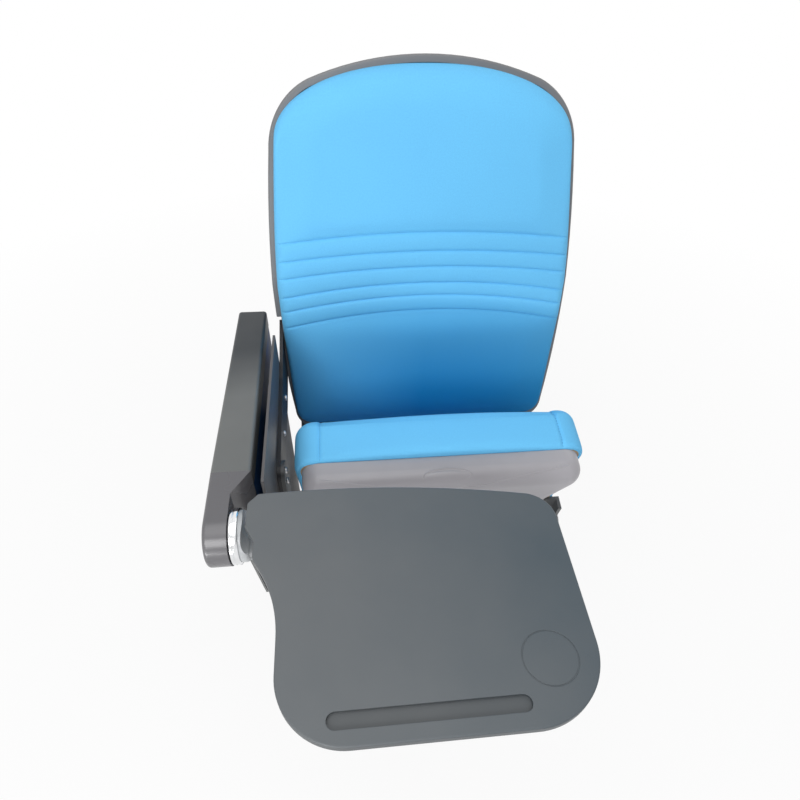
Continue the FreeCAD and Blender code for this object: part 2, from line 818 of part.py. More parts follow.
def screw(name, axis, x, y, z, grip, forward=1):
    """A pan-head screw whose head sits at x, y, z; the shank runs forward along the axis by grip."""
    along = {"x": 0, "y": 1, "z": 2}[axis]
    head_at, shank_at = [x, y, z], [x, y, z]
    head_at[along] = f"{head_at[along]} - screw_head" if forward > 0 else head_at[along]
    shank_at[along] = f"{shank_at[along]} - screw_head / 2" if forward > 0 else f"{shank_at[along]} - ({grip})"
    head = rod(f"{name}_head", axis, *head_at, "screw_head_radius", "screw_head")
    shank = rod(f"{name}_shank", axis, *shank_at, "screw_radius", f"{grip} + screw_head / 2")
    return join(name, [head, shank])


def seat_small_parts():
    """Counterweight that tips the empty seat up, and the seat's screws."""
    weight = box(
        "weight_bar", "-weight_length / 2", WEIGHT_Y, "board_low - weight_height",
        "weight_length", "weight_depth", "weight_height",
    )
    drills = [
        rod(f"weight_drill_{number}", "z", x, y, "board_low - weight_height",
            "screw_radius + fit_clear", "weight_height")
        for number, (x, y) in enumerate(WEIGHT_SCREWS)
    ]
    finish(tip(cut("weight", weight, join("weight_drills", drills))), "counterweight")
    groups = {
        "seat_hinge_screws": ([(x, y) for side, x, y in HINGE_SCREWS], FLANGE_LOW, "hinge_flange + screw_bite"),
        "pan_screws": (PAN_SCREWS, PAN_LOW, "pan_depth + screw_bite"),
        "weight_screws": (WEIGHT_SCREWS, "(board_low - weight_height)", "weight_height + screw_bite"),
    }
    for label, (places, low, grip) in groups.items():
        screws = [screw(f"{label}_{number}", "z", x, y, low, grip) for number, (x, y) in enumerate(places)]
        finish(tip(join(f"{label}_group", screws)), label)


def lean(thing, x="0", along="0", ahead="0"):
    """Recline a back piece that is drawn flat: its Y runs up the back, its Z towards the sitter."""
    turn = FreeCAD.Rotation(FreeCAD.Vector(1, 0, 0), 90 - num("recline"))
    thing.Placement = FreeCAD.Placement(FreeCAD.Vector(), turn)
    bind(thing, "Placement.Rotation.Angle", "(90 - recline) * 1 deg")
    sine, cosine = "sin(recline * 1 deg)", "cos(recline * 1 deg)"
    locate(
        thing, x,
        f"back_foot_y + ({along}) * {sine} - ({ahead}) * {cosine}",
        f"back_foot_z + ({along}) * {cosine} + ({ahead}) * {sine}",
    )
    return thing


def rim_outline(body, inset, holes=()):
    """Outline of the back, inset evenly: straight foot, swelling sides, round shoulders, low crown."""
    half_low, half_mid = f"rim_half_low - {inset}", f"rim_half_mid - {inset}"
    half_top, half_crown = f"rim_half_top - {inset}", f"rim_half_crown - {inset} / 2"
    crown_side = f"rim_crown_side - {inset}"
    low = f"-rim_low + {inset}"
    turn = f"rim_foot_corner - {inset}"
    right = [
        (f"{half_low} - ({turn})", low), (half_low, f"{low} + {turn}"), (half_mid, "rim_mid"),
        (half_top, "rim_shoulder"), (half_crown, crown_side),
    ]
    left = [(f"-({x})", along) for x, along in reversed(right)]
    shoulder = f"rim_corner_radius - {inset}"
    radii = [turn, "rim_side_radius", "rim_upper_radius", shoulder]
    radii = [*radii, "rim_crown_radius", *reversed(radii)]
    arcs = {number: (radius, 1) for number, radius in enumerate(radii)}
    return outline(body, "XY_Plane", right + left, arcs, holes)


FLANGE_SCREWS = [
    (side, near_x(side, f"{PLATE_NEAR} - flange_width / 2", "0"), along)
    for side in SIDES
    for along in ("flange_low + flange_screw_inset", "flange_low + flange_length - flange_screw_inset")
]
UPRIGHT_NEAR = f"({PLATE_NEAR} + plate_thick + arm_gap)"
BRACKET_NEAR = f"({UPRIGHT_NEAR} + plate_thick)"
WALL_NEAR = f"({BRACKET_NEAR} + plate_thick)"
POCKET_OUTER = f"({WALL_NEAR} + skin_thick + pocket_width)"
ARM_OUTER = f"({POCKET_OUTER} + 2 * skin_thick + arm_post_width)"
ARM_INNER = f"({POCKET_OUTER} - pad_lip)"
BRACKET_SCREWS = [
    ("(notch_low + notch_high) / 2 - screw_pitch / 2", "-shell_depth / 2"),
    ("(notch_low + notch_high) / 2 + screw_pitch / 2", "-shell_depth / 2"),
]


def back_shell_and_board():
    """Grey moulded shell with a raised rim, and the plywood board that the back cushion is upholstered on."""
    body = new_body("shell")
    pad(body, rim_outline(body, "0"), "shell_depth")
    round_edges(body, "shell_edge", lies_at("0"))
    round_edges(body, "rim_edge", lies_at("shell_depth"))
    pocket(body, rim_outline(body, "rim_wall"), "shell_depth - shell_skin", "shell_depth")
    notch = box(
        "shell_notch", f"-{BRACKET_NEAR} - {ARM_INNER}", "notch_low", "-shell_depth",
        ARM_INNER, "notch_high - notch_low", "3 * shell_depth",
    )
    drills = [
        rod(f"shell_drill_{number}", "z", x, along, "-shell_skin", "screw_radius + fit_clear", "3 * shell_skin")
        for number, (side, x, along) in enumerate(FLANGE_SCREWS)
    ]
    drills += [
        rod(f"shell_side_drill_{number}", "x", f"-{BRACKET_NEAR}", along, f"shell_depth + {ahead}",
            "screw_radius + fit_clear", "screw_bite + rim_wall")
        for number, (along, ahead) in enumerate(BRACKET_SCREWS)
    ]
    shell = cut("shell_cut", body, join("shell_cutters", [notch, *drills]))
    finish(lean(shell, ahead="-shell_depth"), "back_shell")
    board = new_body("back_ply")
    holes = [(x, along, "screw_radius + fit_clear") for side, x, along in FLANGE_SCREWS]
    pad(board, rim_outline(board, "(rim_wall + back_board_clear)", holes), "back_board_thick")
    finish(lean(board, ahead="shell_skin - shell_depth"), "back_board")


def back_ring(along, half, rear, shoulder, crown, arch):
    """Cross outline of the back cushion: flat rear, swelling sides, crowned and arched front."""
    tuck = num("back_gap")
    rear_half = half - tuck
    front_half = half - 2 * tuck
    waist = (rear + shoulder) / 2
    rear_left, rear_right = (FreeCAD.Vector(x, along, rear) for x in (-rear_half, rear_half))
    side_left, side_right = (FreeCAD.Vector(x, along, waist) for x in (-half, half))
    front_left, front_right = (FreeCAD.Vector(x, along, shoulder) for x in (-front_half, front_half))
    middle = FreeCAD.Vector(0, along + arch, crown)
    edges = [
        Part.LineSegment(rear_left, rear_right),
        Part.Arc(rear_right, side_right, front_right),
        Part.Arc(front_right, middle, front_left),
        Part.Arc(front_left, side_left, rear_left),
    ]
    return Part.Wire([edge.toShape() for edge in edges])


def swell_at(along, start, end, radius):
    """Half width, at a height up the back, of the arc that swells outward from start to end."""
    chord = end - start
    rise = math.sqrt(radius * radius - chord.Length ** 2 / 4)
    inward = FreeCAD.Vector(-chord.y, chord.x, 0).normalize()
    centre = (start + end) * 0.5 + inward * rise
    return centre.x + math.sqrt(max(radius * radius - (along - centre.y) ** 2, 0))


def back_half_width(along):
    """Half width of the cushion at a height up the back, just inside the rim."""
    inset = num("rim_wall + back_gap / 2")
    foot = FreeCAD.Vector(num("rim_half_low") - inset, num("rim_foot_corner - rim_low"), 0)
    middle = FreeCAD.Vector(num("rim_half_mid") - inset, num("rim_mid"), 0)
    shoulder = FreeCAD.Vector(num("rim_half_top") - inset, num("rim_shoulder"), 0)
    crown = FreeCAD.Vector(num("rim_half_crown") - inset / 2, num("rim_crown_side") - inset, 0)
    if along < foot.y:
        turn = num("rim_foot_corner") - inset
        return foot.x - turn + math.sqrt(max(turn ** 2 - (foot.y - along) ** 2, 0))
    if along < middle.y:
        return swell_at(along, foot, middle, num("rim_side_radius"))
    if along < shoulder.y:
        return swell_at(along, middle, shoulder, num("rim_upper_radius"))
    if along < crown.y:
        return swell_at(along, shoulder, crown, num("rim_corner_radius") - inset)
    opposite = FreeCAD.Vector(-crown.x, crown.y, 0)
    return swell_at(along, crown, opposite, num("rim_crown_radius"))


def crown_height(half):
    """Height up the back at which the cushion's crown has narrowed to a half width."""
    inset = num("rim_wall + back_gap / 2")
    radius = num("rim_crown_radius")
    edge_half = num("rim_half_crown") - inset / 2
    centre = num("rim_crown_side") - inset - math.sqrt(radius ** 2 - edge_half ** 2)
    return centre + math.sqrt(radius ** 2 - half ** 2)


# Back cushion below its channels: share of the way up to them, of the full swell and of the arch.
FOOT_PROFILE = [(0.0, 0.15, 0.0), (0.0425, 0.6, 0.0), (0.1486, 0.92, 0.2), (0.4777, 1.0, 0.5)]
# Above its channels: share of the way up to the top, and share of the full swell.
CROWN_PROFILE = [(0.35, 1.0), (0.58, 1.0), (0.76, 0.96), (0.87, 0.86), (0.95, 0.68), (1.0, 0.36)]
CHANNEL_EDGE = 0.3
CROWN_SHARE = 0.45


def back_cushion():
    """Back cushion: crowned, drawn in at its edges, with arched sewn channels across the middle."""
    rear = num("shell_skin + back_board_thick + soft_clear - shell_depth")
    shoulder, crown = num("back_shoulder"), num("back_crown")
    count = int(num("seam_count"))
    low, pitch, depth = num("seam_low"), num("seam_pitch"), num("seam_depth")
    arch_low, arch_step = num("seam_arch_low"), num("seam_arch_step")
    foot = num("rim_wall + back_gap / 2 - rim_low")
    top = crown_height(num("rim_half_crown") * CROWN_SHARE)
    last = low + (count - 1) * pitch
    below = low - pitch - foot
    rows = [(foot + share * below, swell, bend, 0.0) for share, swell, bend in FOOT_PROFILE]
    rows.append((low - pitch, 1.0, 1.0, 0.0))
    for seam in range(count):
        bend = 1 - seam * arch_step / arch_low
        for shift, sunk in ((-CHANNEL_EDGE, 0.0), (0.0, depth), (CHANNEL_EDGE, 0.0)):
            rows.append((low + (seam + shift) * pitch, 1.0, bend, sunk))
    last_bend = 1 - count * arch_step / arch_low
    for share, swell in CROWN_PROFILE:
        rows.append((last + share * (top - last), swell, last_bend * (1 - share), 0.0))
    wires = []
    for along, swell, bend, sunk in rows:
        wires.append(back_ring(
            along, back_half_width(along), rear, shoulder * swell - sunk, crown * swell - sunk, arch_low * bend,
        ))
    soft = doc.addObject("Part::Feature", "back_soft")
    soft.Shape = Part.makeLoft(wires, True, True)
    finish(lean(soft), "back_cushion")


def back_flanges():
    """Steel flanges between the side plates and the rear of the shell, with their screws."""
    for side in SIDES:
        word = side_word(side)
        bar = box(
            f"rail_{word}", near_x(side, f"{PLATE_NEAR} - flange_width", "flange_width"), "flange_low", "0",
            "flange_width", "flange_length", "flange_thick",
        )
        drills = [
            rod(f"rail_{word}_drill_{number}", "z", x, along, "0", "screw_radius + fit_clear", "flange_thick")
            for number, (owner, x, along) in enumerate(FLANGE_SCREWS) if owner == side
        ]
        rail = cut(f"rail_{word}_drilled", bar, join(f"rail_{word}_drills", drills))
        finish(lean(rail, ahead="-shell_depth - flange_thick"), f"back_flange_{word}")
    grip = "flange_thick + shell_skin + screw_bite"
    screws = [
        screw(f"back_flange_screw_{number}", "z", x, along, "0", grip)
        for number, (side, x, along) in enumerate(FLANGE_SCREWS)
    ]
    screw_set = join("back_flange_screw_set", screws)
    finish(lean(screw_set, ahead="-shell_depth - flange_thick"), "back_flange_screws")


def arm_plate(name, x, corners, thick, arcs=None, holes=()):
    """A flat plate that stands along the chair, its lowest X at x, drawn from the side."""
    body = new_body(name)
    pad(body, outline(body, "YZ_Plane", corners, arcs, holes), thick)
    locate(body, x)
    return body


ARM_TOP = "(swing_height + nose_radius)"
ARM_SEAM = "(swing_setback - nose_length)"
PAD_LOW = f"({ARM_TOP} - pad_thick)"
SKIRT_SHOULDER = f"({PAD_LOW} - shoulder_drop)"
TAIL_REACH = "(tablet_tail + mouth_clear)"
TAIL_LIFT = "(fold_rise + tablet_rise)"
TABLET_SWEEP = f"sqrt({TAIL_REACH} * {TAIL_REACH} + {TAIL_LIFT} * {TAIL_LIFT})"
POCKET_MOUTH = f"(swing_setback - {TABLET_SWEEP} - mouth_clear)"
PANEL_REAR = "(arm_rear - skin_inset)"
LINER_X = f"(-{POCKET_OUTER} - skin_thick)"
WALL_X = f"(-{WALL_NEAR} - skin_thick)"
BRACKET_X = f"(-{BRACKET_NEAR} - plate_thick)"
UPRIGHT_X = f"(-{UPRIGHT_NEAR} - plate_thick)"
FLOOR_LOW = "(pocket_floor - pocket_floor_thick)"
UPRIGHT_MIDDLE = "(-upright_front + upright_width / 2)"
BRACKET_LOW = "(upright_top - bracket_height)"
WALL_SCREWS = [
    ("wall_screw_front", f"{BRACKET_LOW} + bracket_height / 2 + wall_screw_lift"),
    ("wall_screw_rear", f"{BRACKET_LOW} + bracket_height / 2 + 2 * wall_screw_lift"),
]
UPRIGHT_SCREWS = [
    (UPRIGHT_MIDDLE, f"{BRACKET_LOW} + screw_margin"),
    (UPRIGHT_MIDDLE, f"{BRACKET_LOW} + bracket_height - screw_margin"),
]


def leaned_at(along, ahead):
    """(Y, Z) expressions of a point of the reclined back."""
    sine, cosine = "sin(recline * 1 deg)", "cos(recline * 1 deg)"
    return (
        f"(back_foot_y + ({along}) * {sine} - ({ahead}) * {cosine})",
        f"(back_foot_z + ({along}) * {cosine} + ({ahead}) * {sine})",
    )


SHELL_SCREWS = [leaned_at(along, ahead) for along, ahead in BRACKET_SCREWS]


def arm_panels():
    """The three upright skins of the arm box, and the floor and rear strip of the tablet pocket."""
    outer = [
        ("-skirt_toe", "skirt_low"), ("skirt_heel", "skirt_low"), (PANEL_REAR, "skirt_knee"),
        (PANEL_REAR, PAD_LOW), (f"-{ARM_SEAM}", PAD_LOW), (f"-{ARM_SEAM}", SKIRT_SHOULDER),
    ]
    finish(arm_plate("skirt", f"-{ARM_OUTER}", outer, "skin_thick"), "side_panel_outer")
    liner = [
        ("-pocket_toe", FLOOR_LOW), ("inner_rear", FLOOR_LOW), (PANEL_REAR, "skirt_knee"),
        (PANEL_REAR, PAD_LOW), (f"-{ARM_SEAM}", PAD_LOW), (f"-{ARM_SEAM}", SKIRT_SHOULDER),
    ]
    finish(arm_plate("liner", LINER_X, liner, "skin_thick"), "pocket_liner")
    inner = [
        ("-pocket_toe", FLOOR_LOW), ("inner_rear", FLOOR_LOW), ("inner_rear", ARM_TOP),
        (f"-{POCKET_MOUTH}", ARM_TOP), (f"-{POCKET_MOUTH}", SKIRT_SHOULDER),
    ]
    drill = "screw_radius + fit_clear"
    holes = [(y, z, drill) for y, z in WALL_SCREWS + UPRIGHT_SCREWS]
    finish(arm_plate("wall", WALL_X, inner, "skin_thick", holes=holes), "side_panel_inner")
    finish(
        box("sill", f"-{POCKET_OUTER}", "-pocket_toe + skin_inset", FLOOR_LOW,
            "pocket_width", "pocket_toe - skin_inset + inner_rear", "pocket_floor_thick"),
        "pocket_floor",
    )
    finish(
        box("strip", f"-{POCKET_OUTER}", "inner_rear - pocket_floor_thick", "pocket_floor",
            "pocket_width", "pocket_floor_thick", "strip_top - pocket_floor"),
        "pocket_rear_strip",
    )


def arm_steel():
    """Tube post inside the arm box, the flat upright beside the seat and the bracket to the back."""
    post = tube(
        "arm_tube", f"{LINER_X} - arm_post_width", "-arm_post_front",
        "arm_post_width", "arm_post_depth", "foot_thick", PAD_LOW,
    )
    finish(post, "arm_post")
    drill = "screw_radius + fit_clear"
    half = "upright_width / 2"
    rear = "-upright_front + upright_width"
    upright = [
        ("-upright_front", "foot_thick"), (rear, "foot_thick"), (rear, f"upright_top - {half}"),
        (UPRIGHT_MIDDLE, "upright_top"), ("-upright_front", f"upright_top - {half}"),
    ]
    round_top = {2: (half, 1), 3: (half, 1)}
    holes = [(y, z, drill) for y, z in UPRIGHT_SCREWS]
    finish(arm_plate("stile", UPRIGHT_X, upright, "plate_thick", round_top, holes), "arm_upright")
    bracket = [
        ("-upright_front", BRACKET_LOW), ("bracket_knee", f"{BRACKET_LOW} + bracket_sag"),
        ("bracket_rear", f"{BRACKET_LOW} + bracket_rise / 2"), ("bracket_rear", "upright_top + bracket_rise"),
        ("bracket_knee", "upright_top + bracket_lift"), (UPRIGHT_MIDDLE, "upright_top"),
        ("-upright_front", f"upright_top - {half}"),
    ]
    places = WALL_SCREWS + UPRIGHT_SCREWS + SHELL_SCREWS
    holes = [(y, z, drill) for y, z in places]
    finish(arm_plate("strap", BRACKET_X, bracket, "plate_thick", {5: (half, 1)}, holes), "back_bracket")
    deep = "plate_thick + skin_thick - screw_head / 3"
    screws = [
        screw(f"wall_screw_{number}", "x", f"{BRACKET_X} + plate_thick", y, z, deep, -1)
        for number, (y, z) in enumerate(WALL_SCREWS)
    ]
    screws += [
        screw(f"upright_screw_{number}", "x", f"{UPRIGHT_X} + plate_thick", y, z, f"{deep} + plate_thick", -1)
        for number, (y, z) in enumerate(UPRIGHT_SCREWS)
    ]
    screws += [
        screw(f"shell_screw_{number}", "x", BRACKET_X, y, z, "plate_thick + screw_bite", 1)
        for number, (y, z) in enumerate(SHELL_SCREWS)
    ]
    finish(join("bracket_screw_set", screws), "bracket_screws")


NOSE_OUTER = f"({ARM_OUTER} + arm_splay)"
NOSE_CHEEK = f"({ARM_INNER} + notch_width)"


def armrest():
    """Armrest pad, and the nose ahead of its seam that carries the tablet hinge."""
    top = new_body("rest_pad")
    corners = [
        (f"-{NOSE_OUTER}", f"-{ARM_SEAM}"), (f"-{ARM_INNER}", f"-{ARM_SEAM}"),
        (f"-{ARM_INNER}", "arm_rear"), (f"-({ARM_OUTER} - arm_splay)", "arm_rear"),
    ]
    pad(top, outline(top, "XY_Plane", corners), "pad_thick")
    round_edges(top, "pad_edge", stands_at(corners[2:]))
    seam = num(f"-{ARM_SEAM}")
    upper = lies_at("pad_thick")
    round_edges(top, "pad_edge", lambda edge: upper(edge) and edge.CenterOfMass.y > seam + 1)
    locate(top, z=PAD_LOW)
    finish(top, "armrest_pad")
    nose = new_body("nose")
    low = "swing_height - nose_radius"
    side_view = [
        ("-swing_setback", low), (f"-{ARM_SEAM}", low), (f"-{ARM_SEAM}", ARM_TOP),
        ("-swing_setback", ARM_TOP), ("-swing_setback - nose_radius", "swing_height"),
    ]
    rounds = {3: ("nose_radius", 1), 4: ("nose_radius", 1)}
    pad(nose, outline(nose, "YZ_Plane", side_view, rounds), f"{NOSE_OUTER} - {ARM_INNER}")
    outer_face = lies_at("0", "x")
    round_edges(nose, "nose_edge", lambda edge: outer_face(edge) and edge.CenterOfMass.y < seam - 1)
    ahead = "-swing_setback - 2 * nose_radius"
    cheek, past = f"{NOSE_OUTER} - {NOSE_CHEEK}", f"{NOSE_OUTER} + nose_radius"
    notch = [
        (cheek, ahead), (past, ahead), (past, f"-{ARM_SEAM}"), (f"{NOSE_OUTER} - {ARM_INNER}", f"-{ARM_SEAM}"),
        (cheek, "-swing_setback + notch_length"),
    ]
    pocket(nose, outline(nose, "XY_Plane", notch), "3 * nose_radius", ARM_TOP)
    locate(nose, f"-{NOSE_OUTER}")
    at = ("-swing_setback", "swing_height")
    bush_x = f"-{NOSE_CHEEK} - swing_depth"
    bore = rod("nose_bore", "x", bush_x, *at, "swing_bush_radius + fit_clear", "2 * swing_depth")
    finish(cut("nose_bored", nose, bore), "armrest_nose")
    sleeve = rod("sleeve", "x", bush_x, *at, "swing_bush_radius", "swing_depth")
    hole = rod("sleeve_hole", "x", bush_x, *at, "swing_pin_radius + fit_clear", "swing_depth")
    finish(cut("sleeve_bored", sleeve, hole), "swing_bush")


DRUM_X = f"(-{NOSE_CHEEK} + drum_gap)"
BOSS_X = f"({DRUM_X} + drum_width)"
LINK_X = f"({BOSS_X} + boss_width)"
PIN_END = f"({BOSS_X} + boss_width / 2)"
FOLD_X = f"({LINK_X} + fold_offset)"
FOLD_Y = "(-swing_setback)"
FOLD_Z = "(swing_height + fold_rise)"
LINK_LOW = "(swing_height - link_drop)"
TABLET_LOW = f"({FOLD_Z} + tablet_rise - tablet_thick)"
EYES_LENGTH = "(lug_length + 2 * eye_gap + 2 * eye_length)"


def hinge_head():
    """Head that swings on the nose: chrome drum, knuckle and the two pins.

    The knuckle's link carries a lug for the fold pin and a ledge that stops the tablet when level.
    """
    at = ("-swing_setback", "swing_height")
    drum = new_body("drum")
    pad(drum, outline(drum, "YZ_Plane", [], holes=[("0", "0", "drum_radius")]), "drum_width")
    round_edges(drum, "drum_edge", lambda edge: True)
    locate(drum, DRUM_X, *at)
    drum_hole = rod("drum_hole", "x", DRUM_X, *at, "swing_pin_radius + fit_clear", "drum_width")
    finish(cut("drum_bored", drum, drum_hole), "swing_drum")
    boss = new_body("boss")
    pad(boss, outline(boss, "YZ_Plane", [], holes=[("0", "0", "boss_radius")]), "boss_width")
    round_edges(boss, "boss_edge", lies_at("boss_width", "x"))
    locate(boss, BOSS_X, *at)
    relief = rod(
        "boss_relief", "y", FOLD_X, f"{FOLD_Y} - 2 * boss_radius", FOLD_Z,
        "sqrt(ear_left * ear_left + tablet_rise * tablet_rise) + turn_clear", "4 * boss_radius",
    )
    hollowed = cut("boss_hollowed", boss, relief)
    link = box(
        "link", f"{LINK_X} - boss_width / 2", f"{FOLD_Y} - link_width / 2", LINK_LOW,
        "boss_width / 2 + fold_offset + lug_half", "link_width", "link_thick",
    )
    lug = box(
        "lug", f"{FOLD_X} - lug_half", f"{FOLD_Y} - lug_length / 2", LINK_LOW,
        "2 * lug_half", "lug_length", "fold_rise + link_drop",
    )
    lug_top = rod("lug_top", "y", FOLD_X, f"{FOLD_Y} - lug_length / 2", FOLD_Z, "lug_half", "lug_length")
    ledge = box(
        "ledge", FOLD_X, f"{FOLD_Y} - lug_length / 2", LINK_LOW,
        "lug_half + ledge_reach", "lug_length", f"{TABLET_LOW} - turn_clear - {LINK_LOW}",
    )
    swing_hole = rod(
        "boss_hole", "x", BOSS_X, *at, "swing_pin_radius + fit_clear", f"{PIN_END} - ({BOSS_X}) + fit_clear",
    )
    fold_hole = rod(
        "lug_hole", "y", FOLD_X, f"{FOLD_Y} - lug_length", FOLD_Z,
        "fold_pin_radius + fit_clear", "2 * lug_length",
    )
    whole = join("knuckle_whole", [hollowed, link, lug, lug_top, ledge])
    finish(cut("knuckle_bored", whole, join("knuckle_holes", [swing_hole, fold_hole])), "knuckle")
    pin_start = f"-{NOSE_CHEEK} - swing_depth + drum_gap"
    finish(
        rod("spindle", "x", pin_start, *at, "swing_pin_radius", f"{PIN_END} - ({pin_start})"),
        "swing_pin",
    )
    stick = rod(
        "fold_stick", "y", FOLD_X, f"{FOLD_Y} - {EYES_LENGTH} / 2 - fold_head", FOLD_Z,
        "fold_pin_radius", f"{EYES_LENGTH} + 2 * fold_head",
    )
    buttons = [
        rod(f"fold_head_{word}", "y", FOLD_X, y, FOLD_Z, "fold_head_radius", "fold_head - turn_clear")
        for word, y in (
            ("front", f"{FOLD_Y} - {EYES_LENGTH} / 2 - fold_head"),
            ("rear", f"{FOLD_Y} + {EYES_LENGTH} / 2 + turn_clear"),
        )
    ]
    finish(join("fold_pin_whole", [stick, *buttons]), "fold_pin")


LEAF_Y = f"(-{EYES_LENGTH} / 2)"
LEAF_PIN = "(tablet_thick - tablet_rise)"
LEAF_SCREWS = [
    (f"leaf_reach * {share}", f"{sign}{EYES_LENGTH} / 3")
    for share in ("0.4", "0.85") for sign in ("-", "")
]


def hang(thing):
    """Put a tablet piece, drawn from the fold pin on the plane of the tablet's underside, in its place."""
    locate(thing, FOLD_X, FOLD_Y, TABLET_LOW)
    return thing


def tablet():
    """Writing tablet with its ear over the hinge, pen groove and cup ring."""
    body = new_body("desk")
    corners = [
        ("-ear_back_left", "tablet_tail"), ("-ear_left", "ear_rear"), ("-ear_left", "-ear_front"),
        ("-ear_waist", "-ear_waist_rear"), ("-ear_waist", "-ear_waist_front"), ("tablet_left", "-neck_end"),
        ("tablet_left", "-tablet_front"), ("tablet_right_front", "-tablet_front"),
        ("tablet_right", "tablet_tail_right"),
    ]
    waist_step, neck_run = "(ear_waist + tablet_left)", "(neck_end - ear_waist_front)"
    neck_radius = f"({waist_step} * {waist_step} + {neck_run} * {neck_run}) / (2 * {waist_step})"
    arcs = {4: (neck_radius, -1), 8: ("tablet_back_radius", 1)}
    pad(body, outline(body, "XY_Plane", corners, arcs), "tablet_thick")
    rounds = {
        "tablet_corner_left": corners[6:7], "tablet_corner_right": corners[7:8],
        "tablet_corner_back": corners[8:9], "ear_corner": corners[0:4], "neck_corner": corners[4:5],
    }
    for radius, places in rounds.items():
        round_edges(body, radius, stands_at(places))
    round_edges(body, "tablet_edge", lies_at("tablet_thick"))
    round_edges(body, "tablet_edge", lies_at("0"))
    groove = [
        ("groove_left", "-groove_line - groove_half"), ("groove_right", "-groove_line - groove_half"),
        ("groove_right", "-groove_line + groove_half"), ("groove_left", "-groove_line + groove_half"),
    ]
    pocket(body, outline(body, "XY_Plane", groove), "groove_depth", "tablet_thick")
    ends = [("groove_left", "-groove_line", "groove_half"), ("groove_right", "-groove_line", "groove_half")]
    pocket(body, outline(body, "XY_Plane", [], holes=ends), "groove_depth", "tablet_thick")
    ring = [("ring_x", "-ring_line", "ring_radius"), ("ring_x", "-ring_line", "ring_radius - ring_line_width")]
    pocket(body, outline(body, "XY_Plane", [], holes=ring), "ring_depth", "tablet_thick")
    recess = box(
        "leaf_recess", "-leaf_clear", f"{LEAF_Y} - leaf_clear", "-leaf_thick",
        "leaf_reach + 2 * leaf_clear", f"{EYES_LENGTH} + 2 * leaf_clear", "2 * leaf_thick",
    )
    drills = [
        rod(f"desk_drill_{number}", "z", x, y, "0", "leaf_screw_radius + fit_clear", "tablet_thick - leaf_thick")
        for number, (x, y) in enumerate(LEAF_SCREWS)
    ]
    finish(hang(cut("desk_cut", body, join("desk_cutters", [recess, *drills]))), "tablet_top")


def tablet_leaf():
    """Steel leaf let into the tablet's underside, with two eyes on the fold pin, and its flush screws."""
    plate = box("leaf_plate", "0", LEAF_Y, "0", "leaf_reach", EYES_LENGTH, "leaf_thick")
    solids = [plate]
    for word, y in (("front", LEAF_Y), ("rear", f"{LEAF_Y} + {EYES_LENGTH} - eye_length")):
        solids.append(rod(f"eye_{word}", "y", "0", y, LEAF_PIN, "eye_radius", "eye_length"))
        solids.append(box(
            f"eye_{word}_neck", "0", y, LEAF_PIN, "eye_radius", "eye_length", f"leaf_thick / 2 - {LEAF_PIN}",
        ))
    holes = [rod(
        "eye_hole", "y", "0", f"{LEAF_Y} - eye_length", LEAF_PIN,
        "fold_pin_radius + fit_clear", f"{EYES_LENGTH} + 2 * eye_length",
    )]
    for number, (x, y) in enumerate(LEAF_SCREWS):
        holes.append(rod(f"leaf_drill_{number}", "z", x, y, "0", "leaf_screw_radius + fit_clear", "leaf_thick"))
        holes.append(rod(
            f"leaf_sink_{number}", "z", x, y, "-leaf_thick",
            "leaf_head_radius + fit_clear", "leaf_thick + leaf_head",
        ))
    finish(hang(cut("leaf", join("leaf_whole", solids), join("leaf_holes", holes))), "tablet_bracket")
    screws = []
    for number, (x, y) in enumerate(LEAF_SCREWS):
        head = rod(f"leaf_head_{number}", "z", x, y, "0", "leaf_head_radius", "leaf_head - fit_clear")
        shank = rod(
            f"leaf_shank_{number}", "z", x, y, "0", "leaf_screw_radius",
            "tablet_thick - leaf_thick - 2 * fit_clear",
        )
        screws.append(join(f"leaf_screw_{number}", [head, shank]))
    finish(hang(join("leaf_screw_set", screws)), "tablet_screws")


def check_document():
    """Stop when any object of the document failed, or a sub-part is not sound."""
    for thing in doc.Objects:
        failed = [state for state in thing.State if state in ("Invalid", "Error")]
        if failed:
            raise RuntimeError(f"{thing.Name} is {failed}")
    for thing in finished:
        if thing.Shape.isNull() or not thing.Shape.isValid() or not thing.Shape.Solids:
            raise RuntimeError(f"{thing.Label} is not a sound solid")


def write_parts():
    """Write one STEP file for each sub-part."""
    os.makedirs("parts", exist_ok=True)
    for thing in finished:
        thing.Shape.exportStep(f"parts/{thing.Label}.step")


def main():
    """Build every sub-part, check the document and write the files."""
    builders = (
        foot_plates, posts_and_tie, side_plates, pivot_pins,
        seat_pan, seat_board, seat_cushion, seat_hinges, seat_small_parts,
        back_shell_and_board, back_cushion, back_flanges,
        arm_panels, arm_steel, armrest, hinge_head, tablet, tablet_leaf,
    )
    for builder in builders:
        builder()
    doc.recompute()
    check_document()
    write_parts()
    for thing in finished:
        limits = thing.Shape.BoundBox
        print(
            f"{thing.Label}: {len(thing.Shape.Solids)} solid(s), {thing.Shape.Volume / 1000:.1f} cm3, "
            f"X {limits.XMin:.1f}..{limits.XMax:.1f}, Y {limits.YMin:.1f}..{limits.YMax:.1f}, "
            f"Z {limits.ZMin:.1f}..{limits.ZMax:.1f}"
        )


main()
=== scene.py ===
"""Dressed model of a tip-up lecture chair with a folding writing tablet.

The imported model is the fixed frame: metres, +Z up, the sitter faces -Y. This file makes the two
cushions, the fasteners, the stitching, the weld beads and the small raised details, gives every
part its finish, and sets the floor, the light and the camera. Sizes in the classes are
millimetres, as in the part, and angles are degrees, unless a line says otherwise.
"""

import json
import logging
import math
from dataclasses import dataclass
from enum import Enum
from functools import cache
from typing import Callable, Iterable, NamedTuple, Sequence

import bmesh
import bpy
import numpy as np
from mathutils import Matrix, Vector


